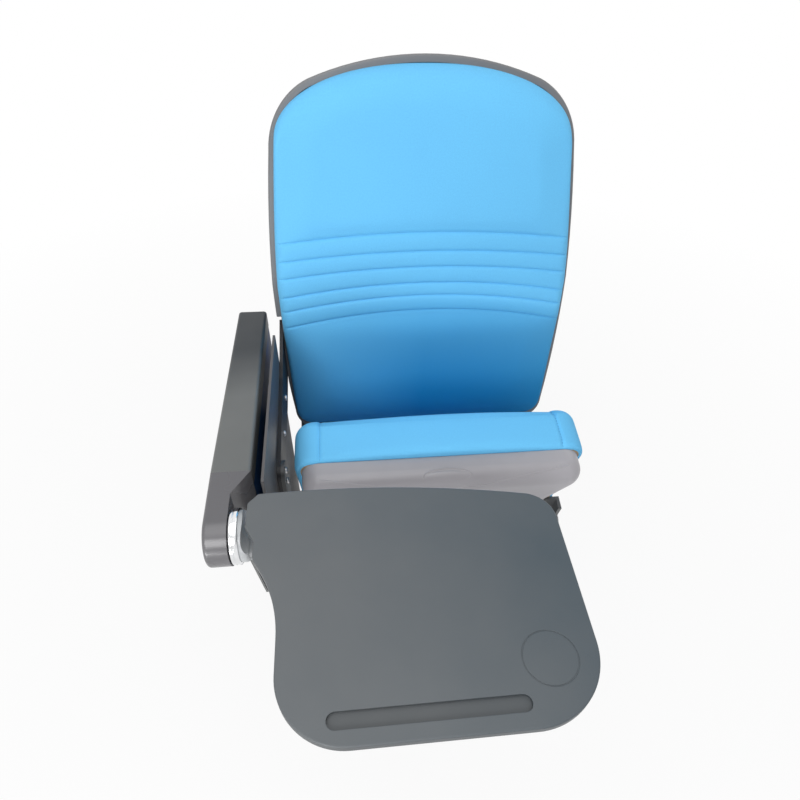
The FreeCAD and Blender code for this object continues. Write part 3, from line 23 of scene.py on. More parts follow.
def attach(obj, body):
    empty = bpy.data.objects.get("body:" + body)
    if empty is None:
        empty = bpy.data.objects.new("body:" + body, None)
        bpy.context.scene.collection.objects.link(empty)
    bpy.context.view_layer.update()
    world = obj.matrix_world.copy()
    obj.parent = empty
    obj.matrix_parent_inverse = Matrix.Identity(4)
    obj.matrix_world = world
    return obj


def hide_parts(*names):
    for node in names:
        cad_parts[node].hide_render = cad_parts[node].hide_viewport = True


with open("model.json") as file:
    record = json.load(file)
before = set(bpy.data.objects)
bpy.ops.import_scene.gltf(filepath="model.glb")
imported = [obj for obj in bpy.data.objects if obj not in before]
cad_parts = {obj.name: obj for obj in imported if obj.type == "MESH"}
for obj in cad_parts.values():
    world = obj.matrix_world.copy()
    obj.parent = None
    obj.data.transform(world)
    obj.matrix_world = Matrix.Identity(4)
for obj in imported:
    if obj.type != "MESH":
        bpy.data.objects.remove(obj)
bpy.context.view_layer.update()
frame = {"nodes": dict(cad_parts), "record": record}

Colour = tuple[float, float, float]
Point = tuple[float, float, float]
PlanPoint = tuple[float, float, float, float]
ScrewGrid = tuple[tuple[float, float], tuple[float, float], float]
Socket = bpy.types.NodeSocket
Sockets = bpy.types.bpy_prop_collection

MM = 0.001
CLOTH_MAP = "cloth_map"
CLOTH_PAINTED_SHADE = "cloth_tone"
log = logging.getLogger("lecture_chair")


def paint(red: int, green: int, blue: int) -> Colour:
    """Linear colour of a display colour.

    Args:
        red, green, blue: The display colour in steps from 0 to 255.

    Returns:
        The colour as a shader takes it.
    """
    def linear(step: int) -> float:
        """One channel in linear light."""
        share = step / 255
        return share / 12.92 if share <= 0.04045 else ((share + 0.055) / 1.055) ** 2.4

    return linear(red), linear(green), linear(blue)


def shade(colour: Colour, factor: float) -> tuple[float, float, float, float]:
    """The colour times a factor, with full alpha."""
    return tuple(min(part * factor, 1.0) for part in colour) + (1.0,)


class Graph:
    """A node tree being wired up, with short calls for the usual steps."""

    def __init__(self, tree: bpy.types.NodeTree) -> None:
        """Hold the tree that the calls work on."""
        self.tree = tree

    def add(self, kind: str, **settings: object) -> bpy.types.Node:
        """Add a node.

        Args:
            kind: Type name of the node.
            settings: Properties to set on it.

        Returns:
            The new node.
        """
        node = self.tree.nodes.new(kind)
        for name, value in settings.items():
            setattr(node, name, value)
        return node

    def feed(self, socket: Socket, value: object) -> None:
        """Link an input to an output, or set its own value.

        Args:
            socket: The input.
            value: The output to link, or the value to set.
        """
        if isinstance(value, bpy.types.NodeSocket):
            self.tree.links.new(value, socket)
        else:
            socket.default_value = value

    def place(self) -> Socket:
        """Object coordinates of the piece."""
        return self.add("ShaderNodeTexCoord").outputs["Object"]

    def split(self, vector: Socket) -> Sockets:
        """Take a vector apart.

        Args:
            vector: The vector.

        Returns:
            Its parts, by the names X, Y and Z.
        """
        node = self.add("ShaderNodeSeparateXYZ")
        self.feed(node.inputs[0], vector)
        return node.outputs

    def mapped(self, place: Socket, change: str, value: Point) -> Socket:
        """Turn or stretch coordinates.

        Args:
            place: The coordinates.
            change: Input of the Mapping node that does it.
            value: What that input is set to.

        Returns:
            The changed coordinates.
        """
        node = self.add("ShaderNodeMapping")
        node.inputs[change].default_value = value
        self.feed(node.inputs["Vector"], place)
        return node.outputs["Vector"]

    def noise(
        self, place: Socket, scale: object, detail: float = 2.0, roughness: float = 0.5,
    ) -> Socket:
        """Add a noise texture.

        Args:
            place: Coordinates that it is read at.
            scale: Its scale, as a number or an output.
            detail: Number of finer layers.
            roughness: Weight of the finer layers.

        Returns:
            Its value.
        """
        node = self.add("ShaderNodeTexNoise")
        self.feed(node.inputs["Vector"], place)
        self.feed(node.inputs["Scale"], scale)
        node.inputs["Detail"].default_value = detail
        node.inputs["Roughness"].default_value = roughness
        return node.outputs["Fac"]

    def math(self, operation: str, *values: object) -> Socket:
        """Add a Math node.

        Args:
            operation: What it works out.
            values: Outputs or numbers for its inputs, in order.

        Returns:
            Its result.
        """
        node = self.add("ShaderNodeMath", operation=operation)
        for socket, value in zip(node.inputs, values):
            self.feed(socket, value)
        return node.outputs[0]

    def vector(self, operation: str, *values: object) -> Sockets:
        """Add a Vector Math node.

        Args:
            operation: What it works out.
            values: Outputs or vectors for its inputs, in order.

        Returns:
            Its results, by the names Vector and Value.
        """
        node = self.add("ShaderNodeVectorMath", operation=operation)
        for socket, value in zip(node.inputs, values):
            self.feed(socket, value)
        return node.outputs

    def spread(
        self, value: Socket, low: float, high: float, new_low: float, new_high: float,
    ) -> Socket:
        """Map a value from one range to another, clamped.

        Args:
            value: The value.
            low, high: Ends of its range.
            new_low, new_high: What the ends become.

        Returns:
            The mapped value.
        """
        node = self.add("ShaderNodeMapRange")
        limits = {"From Min": low, "From Max": high, "To Min": new_low, "To Max": new_high}
        for name, number in limits.items():
            node.inputs[name].default_value = number
        self.feed(node.inputs["Value"], value)
        return node.outputs["Result"]

    def blend(self, factor: object, first: object, second: object) -> Socket:
        """Mix two colours.

        Args:
            factor: Share of the second, as a number or an output.
            first, second: Colours or outputs.

        Returns:
            The mixed colour.
        """
        node = self.add("ShaderNodeMix", data_type="RGBA")
        for number, value in ((0, factor), (6, first), (7, second)):
            self.feed(node.inputs[number], value)
        return node.outputs[2]

    def tones(self, factor: Socket, colour: Colour, low: float, high: float) -> Socket:
        """Mix a darker and a paler tone of one colour."""
        return self.blend(factor, shade(colour, low), shade(colour, high))

    def effect(self, tree: bpy.types.NodeTree, **inputs: object) -> Sockets:
        """Place a shared effect.

        Args:
            tree: Its node group.
            inputs: Values or outputs for its inputs, by name.

        Returns:
            Its outputs, by name.
        """
        node = self.add("ShaderNodeGroup", node_tree=tree)
        for name, value in inputs.items():
            self.feed(node.inputs[name], value)
        return node.outputs

    def bump(
        self, shader: bpy.types.Node, height: Socket, strength: float, depth: float,
        normal: Socket | None = None,
    ) -> None:
        """Raise a shader's surface by a height.

        Args:
            shader: The shader.
            height: Height over the surface, from 0 to 1.
            strength: Share of the effect that shows.
            depth: Full height.
            normal: Normal to start from, if not the surface's own.
        """
        node = self.add("ShaderNodeBump")
        node.inputs["Strength"].default_value = strength
        node.inputs["Distance"].default_value = depth * MM
        self.feed(node.inputs["Height"], height)
        if normal is not None:
            self.feed(node.inputs["Normal"], normal)
        self.feed(shader.inputs["Normal"], node.outputs["Normal"])


class Effects:
    """Shader effects that several finishes share, each built once as a node group."""

    @staticmethod
    def _open(
        name: str, inputs: dict[str, str], outputs: dict[str, str],
    ) -> tuple[Graph, Sockets, Sockets]:
        """Start a node group.

        Args:
            name: Name of the group.
            inputs, outputs: Socket names and the word of their type.

        Returns:
            Its graph, the values that it is given, and the sockets for what it makes.
        """
        tree = bpy.data.node_groups.new(name, "ShaderNodeTree")
        for word, sockets in (("INPUT", inputs), ("OUTPUT", outputs)):
            for label, kind in sockets.items():
                tree.interface.new_socket(name=label, in_out=word, socket_type=f"NodeSocket{kind}")
        graph = Graph(tree)
        return graph, graph.add("NodeGroupInput").outputs, graph.add("NodeGroupOutput").inputs

    @staticmethod
    @cache
    def grain() -> bpy.types.NodeTree:
        """Pebbled surface of moulded plastic.

        Returns:
            The group: from a place and the cells in a metre to a height.
        """
        graph, given, made = Effects._open(
            "moulded_grain", {"Vector": "Vector", "Cells": "Float"}, {"Height": "Float"},
        )
        pebble_share, swirl_share, swirl_scale, softness = 0.65, 0.5, 0.35, 0.5
        cells = graph.add("ShaderNodeTexVoronoi", feature="SMOOTH_F1")
        cells.inputs["Smoothness"].default_value = softness
        graph.feed(cells.inputs["Vector"], given["Vector"])
        graph.feed(cells.inputs["Scale"], given["Cells"])
        pebble = graph.math("MULTIPLY", cells.outputs["Distance"], pebble_share)
        noise = graph.noise(given["Vector"], graph.math("MULTIPLY", given["Cells"], swirl_scale))
        swirl = graph.math("MULTIPLY", noise, swirl_share)
        graph.feed(made["Height"], graph.math("ADD", pebble, swirl))
        return graph.tree

    @staticmethod
    @cache
    def cloud() -> bpy.types.NodeTree:
        """Slow drift over a surface, for tone and gloss.

        Returns:
            The group: from a place and a scale to a value from 0 to 1.
        """
        graph, given, made = Effects._open(
            "slow_cloud", {"Vector": "Vector", "Scale": "Float"}, {"Value": "Float"},
        )
        noise = graph.noise(given["Vector"], given["Scale"], detail=4.0, roughness=0.55)
        graph.feed(made["Value"], graph.spread(noise, 0.3, 0.7, 0.0, 1.0))
        return graph.tree

    @staticmethod
    @cache
    def edge() -> bpy.types.NodeTree:
        """Softened edges.

        Returns:
            The group: from a place and a radius to a rounded normal, and a broken mask along the
            edges for wear.
        """
        graph, given, made = Effects._open(
            "soft_edge", {"Vector": "Vector", "Radius": "Float"},
            {"Normal": "Vector", "Mask": "Float"},
        )
        scuffs = 90.0
        bevel = graph.add("ShaderNodeBevel", samples=4)
        graph.feed(bevel.inputs["Radius"], given["Radius"])
        rounded = bevel.outputs["Normal"]
        flat = graph.add("ShaderNodeNewGeometry").outputs["Normal"]
        alike = graph.vector("DOT_PRODUCT", rounded, flat)["Value"]
        edge = graph.spread(alike, 0.995, 0.8, 0.0, 1.0)
        scuff = graph.noise(given["Vector"], scuffs, detail=5.0)
        broken = graph.spread(scuff, 0.42, 0.62, 0.0, 1.0)
        graph.feed(made["Normal"], rounded)
        graph.feed(made["Mask"], graph.math("MULTIPLY", edge, broken))
        return graph.tree

    @staticmethod
    @cache
    def weave() -> bpy.types.NodeTree:
        """Plain weave of round threads.

        Returns:
            The group: from a place on the cloth and a thread's width to a height, and a tone that
            differs from thread to thread.
        """
        graph, given, made = Effects._open(
            "plain_weave", {"Vector": "Vector", "Thread": "Float"},
            {"Height": "Float", "Tone": "Float"},
        )
        flecks = 0.35
        size = graph.add("ShaderNodeCombineXYZ")
        for socket in size.inputs:
            graph.feed(socket, given["Thread"])
        threads = graph.vector("DIVIDE", given["Vector"], size.outputs[0])["Vector"]
        parts = graph.split(threads)
        humps, rows = [], []
        for axis in ("X", "Y"):
            wave = graph.math("SINE", graph.math("MULTIPLY", parts[axis], math.pi))
            humps.append(graph.math("ABSOLUTE", wave))
            rows.append(graph.math("FLOOR", parts[axis]))
        over = graph.math("FLOORED_MODULO", graph.math("ADD", *rows), 2.0)
        under = graph.math("SUBTRACT", 1.0, over)
        warp = graph.math("MULTIPLY", humps[0], over)
        weft = graph.math("MULTIPLY", humps[1], under)
        graph.feed(made["Height"], graph.math("ADD", warp, weft))
        graph.feed(made["Tone"], graph.noise(threads, flecks, detail=3.0))
        return graph.tree


@dataclass(frozen=True)
class Finish:
    """A finish: its name, its colour, and a material made once from them."""

    name: str
    colour: Colour

    def material(self) -> bpy.types.Material:
        """Give the material of this finish, made the first time it is asked for.

        Returns:
            The material.
        """
        title = f"{self.name}_finish"
        if title in bpy.data.materials:
            return bpy.data.materials[title]
        material = bpy.data.materials.new(title)
        material.use_nodes = True
        self.dress(Graph(material.node_tree), material.node_tree.nodes["Principled BSDF"])
        material.diffuse_color = shade(self.colour, 1.0)
        return material

    def dress(self, graph: Graph, shader: bpy.types.Node) -> None:
        """Wire the finish into a material; each kind of finish does its own."""
        raise NotImplementedError


@dataclass(frozen=True)
class MouldedPlastic(Finish):
    """Moulded plastic: pebble grain, slow drift of tone and gloss, edges rubbed paler.

    Along a ramp, which is an axis with a far and a near end, the far colour, a painted shade,
    gives way to the plastic's own. Below the height of a level face painted shade darkens the
    colour, as in a groove.
    """

    roughness: float = 0.45
    gloss_drift: float = 0.06
    cells: float = 900.0
    depth: float = 0.25
    pebble: float = 0.2
    drift: float = 0.10
    drift_scale: float = 4.0
    rubbed: float = 0.25
    rubbed_tone: float = 1.9
    edge_radius: float = 0.9
    ramp_shade_colour: Colour | None = None
    shade_ramp: tuple[str, float, float] | None = None
    shade_ramp_share: float = 0.7
    face_height: float | None = None
    groove_start: float = 0.6
    groove_full: float = 1.8
    groove_shade_share: float = 0.45
    groove_shade_tone: float = 0.3

    def dress(self, graph: Graph, shader: bpy.types.Node) -> None:
        """Wire grain, drift and rubbed edges into the shader.

        Args:
            graph: Graph of the material.
            shader: Its Principled shader.
        """
        place = graph.place()
        cloud = graph.effect(Effects.cloud(), Vector=place, Scale=self.drift_scale)["Value"]
        edge = graph.effect(Effects.edge(), Vector=place, Radius=self.edge_radius * MM)
        body = self.body(graph, place, cloud)
        worn = graph.math("MULTIPLY", edge["Mask"], self.rubbed)
        rubbed = graph.blend(worn, body, shade(self.colour, self.rubbed_tone))
        graph.feed(shader.inputs["Base Color"], rubbed)
        matt, glossy = self.roughness + self.gloss_drift, self.roughness - self.gloss_drift
        graph.feed(shader.inputs["Roughness"], graph.spread(cloud, 0.0, 1.0, matt, glossy))
        grain = graph.effect(Effects.grain(), Vector=place, Cells=self.cells)["Height"]
        graph.bump(shader, grain, self.depth, self.pebble, edge["Normal"])

    def body(self, graph: Graph, place: Socket, cloud: Socket) -> Socket:
        """Colour of the plastic before wear, with its painted shade.

        Args:
            graph: Graph of the material.
            place: Coordinates of the piece.
            cloud: Slow drift from 0 to 1.

        Returns:
            The colour.
        """
        parts = graph.split(place)
        near = cloud
        # Painted shade: along the ramp the colour darkens towards the far colour.
        if self.shade_ramp:
            axis, far_end, near_end = self.shade_ramp
            slope = graph.spread(parts[axis], far_end * MM, near_end * MM, 0.0, self.shade_ramp_share)
            near = graph.math("ADD", slope, graph.math("MULTIPLY", cloud, 1.0 - self.shade_ramp_share))
        dark = shade(self.ramp_shade_colour or self.colour, 1.0 - self.drift)
        colour = graph.blend(near, dark, shade(self.colour, 1.0 + self.drift))
        # Painted shade: below the level face the colour darkens, as in a groove.
        if self.face_height:
            start, full = self.face_height - self.groove_start, self.face_height - self.groove_full
            low = graph.spread(parts["Z"], start * MM, full * MM, 0.0, self.groove_shade_share)
            colour = graph.blend(low, colour, shade(self.colour, self.groove_shade_tone))
        return colour


@dataclass(frozen=True)
class PowderCoat(Finish):
    """Powder-coated steel: orange peel, satin gloss, chips along the edges."""

    roughness: float = 0.4
    gloss_drift: tuple[float, float] = (-0.05, 0.1)
    drift: tuple[float, float] = (0.85, 1.2)
    drift_scale: float = 9.0
    peel: float = 420.0
    peel_share: float = 0.2
    peel_depth: float = 0.3
    chips: float = 0.35
    bare: Colour = (0.34, 0.33, 0.32)
    edge_radius: float = 0.8

    def dress(self, graph: Graph, shader: bpy.types.Node) -> None:
        """Wire peel, drift and chipped edges into the shader.

        Args:
            graph: Graph of the material.
            shader: Its Principled shader.
        """
        place = graph.place()
        cloud = graph.effect(Effects.cloud(), Vector=place, Scale=self.drift_scale)["Value"]
        edge = graph.effect(Effects.edge(), Vector=place, Radius=self.edge_radius * MM)
        body = graph.tones(cloud, self.colour, *self.drift)
        chipped = graph.math("MULTIPLY", edge["Mask"], self.chips)
        graph.feed(shader.inputs["Base Color"], graph.blend(chipped, body, shade(self.bare, 1.0)))
        graph.feed(shader.inputs["Metallic"], chipped)
        ends = [self.roughness + change for change in self.gloss_drift]
        graph.feed(shader.inputs["Roughness"], graph.spread(cloud, 0.0, 1.0, *ends))
        peel = graph.noise(place, self.peel)
        graph.bump(shader, peel, self.peel_share, self.peel_depth, edge["Normal"])


@dataclass(frozen=True)
class BareMetal(Finish):
    """Plated or polished metal: fine brushing, smears of gloss, softened edges."""

    roughness: float = 0.3
    smear: float = 0.12
    smear_scale: float = 26.0
    drift: tuple[float, float] = (0.88, 1.05)
    brush: float = 0.15
    brush_lines: Point = (900.0, 60.0, 900.0)
    brush_depth: float = 0.1
    edge_radius: float = 0.6

    def dress(self, graph: Graph, shader: bpy.types.Node) -> None:
        """Wire brushing and smears into the shader.

        Args:
            graph: Graph of the material.
            shader: Its Principled shader.
        """
        shader.inputs["Metallic"].default_value = 1.0
        place = graph.place()
        cloud = graph.effect(Effects.cloud(), Vector=place, Scale=self.smear_scale)["Value"]
        edge = graph.effect(Effects.edge(), Vector=place, Radius=self.edge_radius * MM)
        graph.feed(shader.inputs["Base Color"], graph.tones(cloud, self.colour, *self.drift))
        smeared = graph.spread(cloud, 0.0, 1.0, self.roughness, self.roughness + self.smear)
        graph.feed(shader.inputs["Roughness"], smeared)
        lines = graph.noise(graph.mapped(place, "Scale", self.brush_lines), 1.0)
        graph.bump(shader, lines, self.brush, self.brush_depth, edge["Normal"])


@dataclass(frozen=True)
class Plywood(Finish):
    """Raw plywood: plies through the thickness and a long grain on the faces."""

    tilt: float = 0.0
    ply: float = 1.5
    glue_tone: float = 0.6
    drift: tuple[float, float] = (0.7, 1.2)
    fibres: Point = (160.0, 9.0, 160.0)
    fibre_share: float = 0.25
    fibre_depth: float = 0.3

    def dress(self, graph: Graph, shader: bpy.types.Node) -> None:
        """Wire plies and grain into the shader, turned to lie with the board.

        Args:
            graph: Graph of the material.
            shader: Its Principled shader.
        """
        board = graph.mapped(graph.place(), "Rotation", (math.radians(self.tilt), 0.0, 0.0))
        through = graph.math("MULTIPLY", graph.split(board)["Z"], math.pi / (self.ply * MM))
        plies = graph.spread(graph.math("SINE", through), -0.4, 0.4, 0.0, 1.0)
        fibre = graph.noise(graph.mapped(board, "Scale", self.fibres), 1.0, detail=6.0)
        wood = graph.tones(fibre, self.colour, *self.drift)
        layers = graph.blend(plies, shade(self.colour, self.glue_tone), wood)
        graph.feed(shader.inputs["Base Color"], layers)
        graph.feed(shader.inputs["Roughness"], graph.spread(fibre, 0.3, 0.7, 0.75, 0.55))
        graph.bump(shader, fibre, self.fibre_share, self.fibre_depth)


@dataclass(frozen=True)
class Upholstery(Finish):
    """Woven seat cloth: round threads, flecks of tone and a soft sheen.

    It reads where each point lies on the flat cloth, and how much painted shade darkens it, from
    the piece.
    """

    # Colour of the painted shade that darkens the cloth where the cover asks for it.
    painted_shade_colour: Colour = paint(0, 130, 190)
    thread: float = 0.9
    fleck: float = 0.16
    yarn_share: float = 0.5
    gap_shade_share: float = 0.22
    gap_shade_tone: float = 0.45
    drift: tuple[float, float] = (0.95, 1.04)
    drift_scale: float = 5.0
    specular: float = 0.3
    sheen: float = 0.08
    sheen_roughness: float = 0.45
    sheen_tone: float = 1.3
    depth: float = 0.35
    weave_depth: float = 0.4

    def dress(self, graph: Graph, shader: bpy.types.Node) -> None:
        """Wire weave, flecks and sheen into the shader.

        Args:
            graph: Graph of the material.
            shader: Its Principled shader.
        """
        cloth = graph.add("ShaderNodeAttribute", attribute_name=CLOTH_MAP).outputs["Vector"]
        tone = graph.add("ShaderNodeAttribute", attribute_name=CLOTH_PAINTED_SHADE).outputs["Fac"]
        weave = graph.effect(Effects.weave(), Vector=cloth, Thread=self.thread * MM)
        cloud = graph.effect(Effects.cloud(), Vector=graph.place(), Scale=self.drift_scale)["Value"]
        body = graph.tones(cloud, self.colour, *self.drift)
        yarn = graph.tones(weave["Tone"], self.colour, 1.0 - self.fleck, 1.0 + self.fleck)
        body = graph.blend(self.yarn_share, body, yarn)
        # Painted shade: the cover's stored share darkens the cloth towards the shade colour.
        body = graph.blend(tone, body, shade(self.painted_shade_colour, 1.0))
        # Painted shade in the gaps between the threads.
        gap_shade = graph.spread(weave["Height"], 0.0, 0.5, self.gap_shade_share, 0.0)
        woven = graph.blend(gap_shade, body, shade(self.colour, self.gap_shade_tone))
        graph.feed(shader.inputs["Base Color"], woven)
        graph.feed(shader.inputs["Roughness"], graph.spread(weave["Height"], 0.0, 1.0, 0.92, 0.7))
        shader.inputs["Specular IOR Level"].default_value = self.specular
        shader.inputs["Sheen Weight"].default_value = self.sheen
        shader.inputs["Sheen Roughness"].default_value = self.sheen_roughness
        shader.inputs["Sheen Tint"].default_value = shade(self.colour, self.sheen_tone)
        graph.bump(shader, weave["Height"], self.depth, self.weave_depth)


BLUE = paint(110, 199, 255)
WOOD = (0.62, 0.47, 0.3)


class Slot(Enum):
    """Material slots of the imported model, each with its finish."""

    FRAME_PAINT = PowderCoat("frame_paint", paint(78, 80, 82))
    BRACKET_BLACK = PowderCoat("bracket_black", paint(30, 30, 34), roughness=0.45)
    BRIGHT_STEEL = BareMetal("bright_steel", (0.62, 0.62, 0.63), roughness=0.32)
    WEIGHT_PAINT = PowderCoat("weight_paint", paint(64, 64, 66), roughness=0.6)
    NYLON = MouldedPlastic("nylon", paint(42, 42, 44), roughness=0.5, depth=0.1)
    SHELL_GREY = MouldedPlastic("shell_grey", paint(112, 113, 115), roughness=0.5, cells=700.0)
    PAN_GREY = MouldedPlastic(
        "pan_grey", paint(162, 160, 165), roughness=0.32, cells=1100.0, depth=0.1,
    )
    PLYWOOD = Plywood("plywood", WOOD)
    BLUE_CLOTH = Upholstery("blue_cloth", BLUE)
    # The arm's top takes painted shade towards its rear.
    ARM_GREY = MouldedPlastic(
        "arm_grey", paint(106, 108, 107), roughness=0.4, drift=0.04,
        ramp_shade_colour=paint(38, 43, 48), shade_ramp=("Y", 25.0, -85.0),
    )
    POCKET_DARK = MouldedPlastic("pocket_dark", paint(16, 70, 124), roughness=0.5, depth=0.1)
    WALL_GREY = MouldedPlastic("wall_grey", paint(84, 82, 83), roughness=0.4, rubbed=0.9)
    CHROME = BareMetal("chrome", (0.85, 0.86, 0.87), roughness=0.06, smear=0.05, brush=0.02)
    KNUCKLE_GREY = PowderCoat("knuckle_grey", paint(165, 168, 170), roughness=0.24, chips=0.15)
    # The tablet takes painted shade towards its right and down in its pen groove.
    TABLET_GREY = MouldedPlastic(
        "tablet_grey", paint(98, 101, 103), roughness=0.46, cells=1000.0, drift=0.03,
        drift_scale=4.5, ramp_shade_colour=paint(58, 72, 81), shade_ramp=("X", 120.0, -160.0), face_height=651.0,
    )

    @property
    def word(self) -> str:
        """The slot's name in the record."""
        return self.value.name


OWN_FINISHES = {
    "armrest_nose": MouldedPlastic(
        "arm_nose_grey", paint(100, 99, 102), roughness=0.27, drift=0.05, drift_scale=9.0,
    ),
    "seat_board": Plywood("seat_plywood", WOOD, tilt=78.0),
    "back_board": Plywood("back_plywood", WOOD, tilt=-75.6),
}


class Body(Enum):
    """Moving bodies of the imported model."""

    FRAME = "frame"
    SEAT = "seat"
    HINGE_HEAD = "hinge_head"
    TABLET = "tablet"


def make_piece(
    name: str, points: Sequence[Vector], faces: Sequence[Sequence[int]], slot: Slot,
    smooth: bool = True,
) -> bpy.types.Object:
    """Make a mesh object at the origin.

    Args:
        name: Name of the piece.
        points: Corners in metres.
        faces: Corner numbers of each face, seen from outside.
        slot: Slot whose finish it takes.
        smooth: Whether its faces are shaded smooth.

    Returns:
        The linked object.
    """
    mesh = bpy.data.meshes.new(name)
    mesh.from_pydata([tuple(point) for point in points], [], [tuple(face) for face in faces])
    mesh.validate()
    mesh.materials.append(slot.value.material())
    mesh.polygons.foreach_set("use_smooth", [smooth] * len(mesh.polygons))
    piece = bpy.data.objects.new(name, mesh)
    bpy.context.scene.collection.objects.link(piece)
    return piece


def ring_faces(rings: int, size: int) -> list[Sequence[int]]:
    """Faces between closed rings of points that are numbered one after the other.

    Args:
        rings: Number of rings.
        size: Points in each.

    Returns:
        The faces, ring by ring.
    """
    faces: list[Sequence[int]] = []
    for ring in range(rings - 1):
        low, high = ring * size, (ring + 1) * size
        for k in range(size):
            after = (k + 1) % size
            faces.append((low + k, low + after, high + after, high + k))
    return faces


def hand_over(
    piece: bpy.types.Object, body: Body, slot: Slot, nodes: Iterable[str] = (),
) -> None:
    """Ride a finished piece on its body and hide the nodes that it stands for.

    Args:
        piece: The piece, with no modifier left on it.
        body: Body that it rides on.
        slot: Slot that it shows; not used.
        nodes: Nodes that it stands for.
    """
    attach(piece, body.value)
    slot.word
    for node in nodes:
        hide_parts(node)
    log.info("%s rides on %s, %d faces", piece.name, body.value, len(piece.data.polygons))


def settle_mesh(piece: bpy.types.Object) -> None:
    """Put the evaluated mesh in place of a piece's own mesh and take its modifiers off.

    Args:
        piece: The piece.
    """
    graph = bpy.context.evaluated_depsgraph_get()
    mesh = bpy.data.meshes.new_from_object(
        piece.evaluated_get(graph), preserve_all_data_layers=True, depsgraph=graph,
    )
    piece.modifiers.clear()
    old = piece.data
    name = old.name
    piece.data = mesh
    bpy.data.meshes.remove(old)
    mesh.name = name


def set_cloth_map(piece: bpy.types.Object, places: Sequence[tuple[float, float]]) -> None:
    """Store where each point lies on the flat cloth.

    Args:
        piece: The cover.
        places: Place of each point, as (across, along).
    """
    flat = [part * MM for across, along in places for part in (across, along, 0.0)]
    layer = piece.data.attributes.new(CLOTH_MAP, "FLOAT_VECTOR", "POINT")
    layer.data.foreach_set("vector", flat)


def points_of(mesh: bpy.types.Mesh) -> np.ndarray:
    """Corners of a mesh.

    Args:
        mesh: The mesh.

    Returns:
        A row for each corner, in metres.
    """
    flat = np.zeros(len(mesh.vertices) * 3)
    mesh.vertices.foreach_get("co", flat)
    return flat.reshape(-1, 3)


@dataclass(frozen=True)
class Swelling:
    """A short cloth simulation that fills a closed cover from inside."""

    pressure: float = 4.0
    frames: int = 20
    quality: int = 3
    mass: float = 0.3
    stiffness: float = 12.0
    bending: float = 0.8
    cap: float = 5.0
    smoothing: int = 12
    smooth_share: float = 0.6

    def fill(self, piece: bpy.types.Object, held: np.ndarray) -> None:
        """Swell a piece and keep every point near its start.

        Args:
            piece: Closed mesh at the origin.
            held: How firmly each point is held, from 0 to 1.
        """
        start = points_of(piece.data)
        group = piece.vertex_groups.new(name="held")
        for index, weight in enumerate(held):
            group.add([index], float(weight), "REPLACE")
        cloth = self.add_cloth(piece, group.name)
        scene = bpy.context.scene
        for number in range(1, self.frames + 1):
            scene.frame_set(number)
        evaluated = piece.evaluated_get(bpy.context.evaluated_depsgraph_get())
        moved = self.even_out(piece.data, points_of(evaluated.data) - start, held < 0.5)
        length = np.linalg.norm(moved, axis=1, keepdims=True)
        moved *= np.minimum(1.0, self.cap * MM / np.maximum(length, 1e-9))
        piece.modifiers.remove(cloth)
        piece.vertex_groups.remove(group)
        scene.frame_set(1)
        piece.data.vertices.foreach_set("co", (start + moved).ravel())
        piece.data.update()
        reach = min(float(length.max()) / MM, self.cap)
        log.info("%s swelled by up to %.1f mm", piece.name, reach)

    def add_cloth(self, piece: bpy.types.Object, held: str) -> bpy.types.Modifier:
        """Set up the simulation on a piece.

        Args:
            piece: The piece.
            held: Name of the vertex group of the held points.

        Returns:
            The cloth modifier.
        """
        cloth = piece.modifiers.new("swell", "CLOTH")
        settings = cloth.settings
        settings.quality = self.quality
        settings.mass = self.mass
        settings.tension_stiffness = self.stiffness
        settings.compression_stiffness = self.stiffness
        settings.shear_stiffness = self.stiffness / 2
        settings.bending_stiffness = self.bending
        settings.use_pressure = True
        settings.uniform_pressure_force = self.pressure
        settings.vertex_group_mass = held
        settings.effector_weights.gravity = 0.0
        cloth.point_cache.frame_start = 1
        cloth.point_cache.frame_end = self.frames
        return cloth

    def even_out(self, mesh: bpy.types.Mesh, moved: np.ndarray, free: np.ndarray) -> np.ndarray:
        """Spread each free point's move over its neighbours, which takes out creases.

        Args:
            mesh: Mesh whose edges name the neighbours.
            moved: Move of each point.
            free: Which points may change.

        Returns:
            The evened moves.
        """
        ends = np.zeros(len(mesh.edges) * 2, dtype=np.int64)
        mesh.edges.foreach_get("vertices", ends)
        one, two = ends.reshape(-1, 2).T
        count = np.bincount(ends, minlength=len(moved))[:, None]
        own_share = 1.0 - self.smooth_share
        for _ in range(self.smoothing):
            total = np.zeros_like(moved)
            np.add.at(total, one, moved[two])
            np.add.at(total, two, moved[one])
            evened = own_share * moved + self.smooth_share * total / count
            moved = np.where(free[:, None], evened, moved)
        return moved


def quarter(distance: float, radius: float, power: float = 2.0) -> float:
    """Height of a rounded edge.

    Args:
        distance: Distance in from the edge.
        radius: Distance at which the edge has turned flat.
        power: 2 for a quarter circle, more for a squarer edge.

    Returns:
        From 0 at the edge, where it stands upright, to 1.
    """
    short = 1.0 - min(max(distance, 0.0) / radius, 1.0)
    return (1.0 - short ** power) ** (1.0 / power)


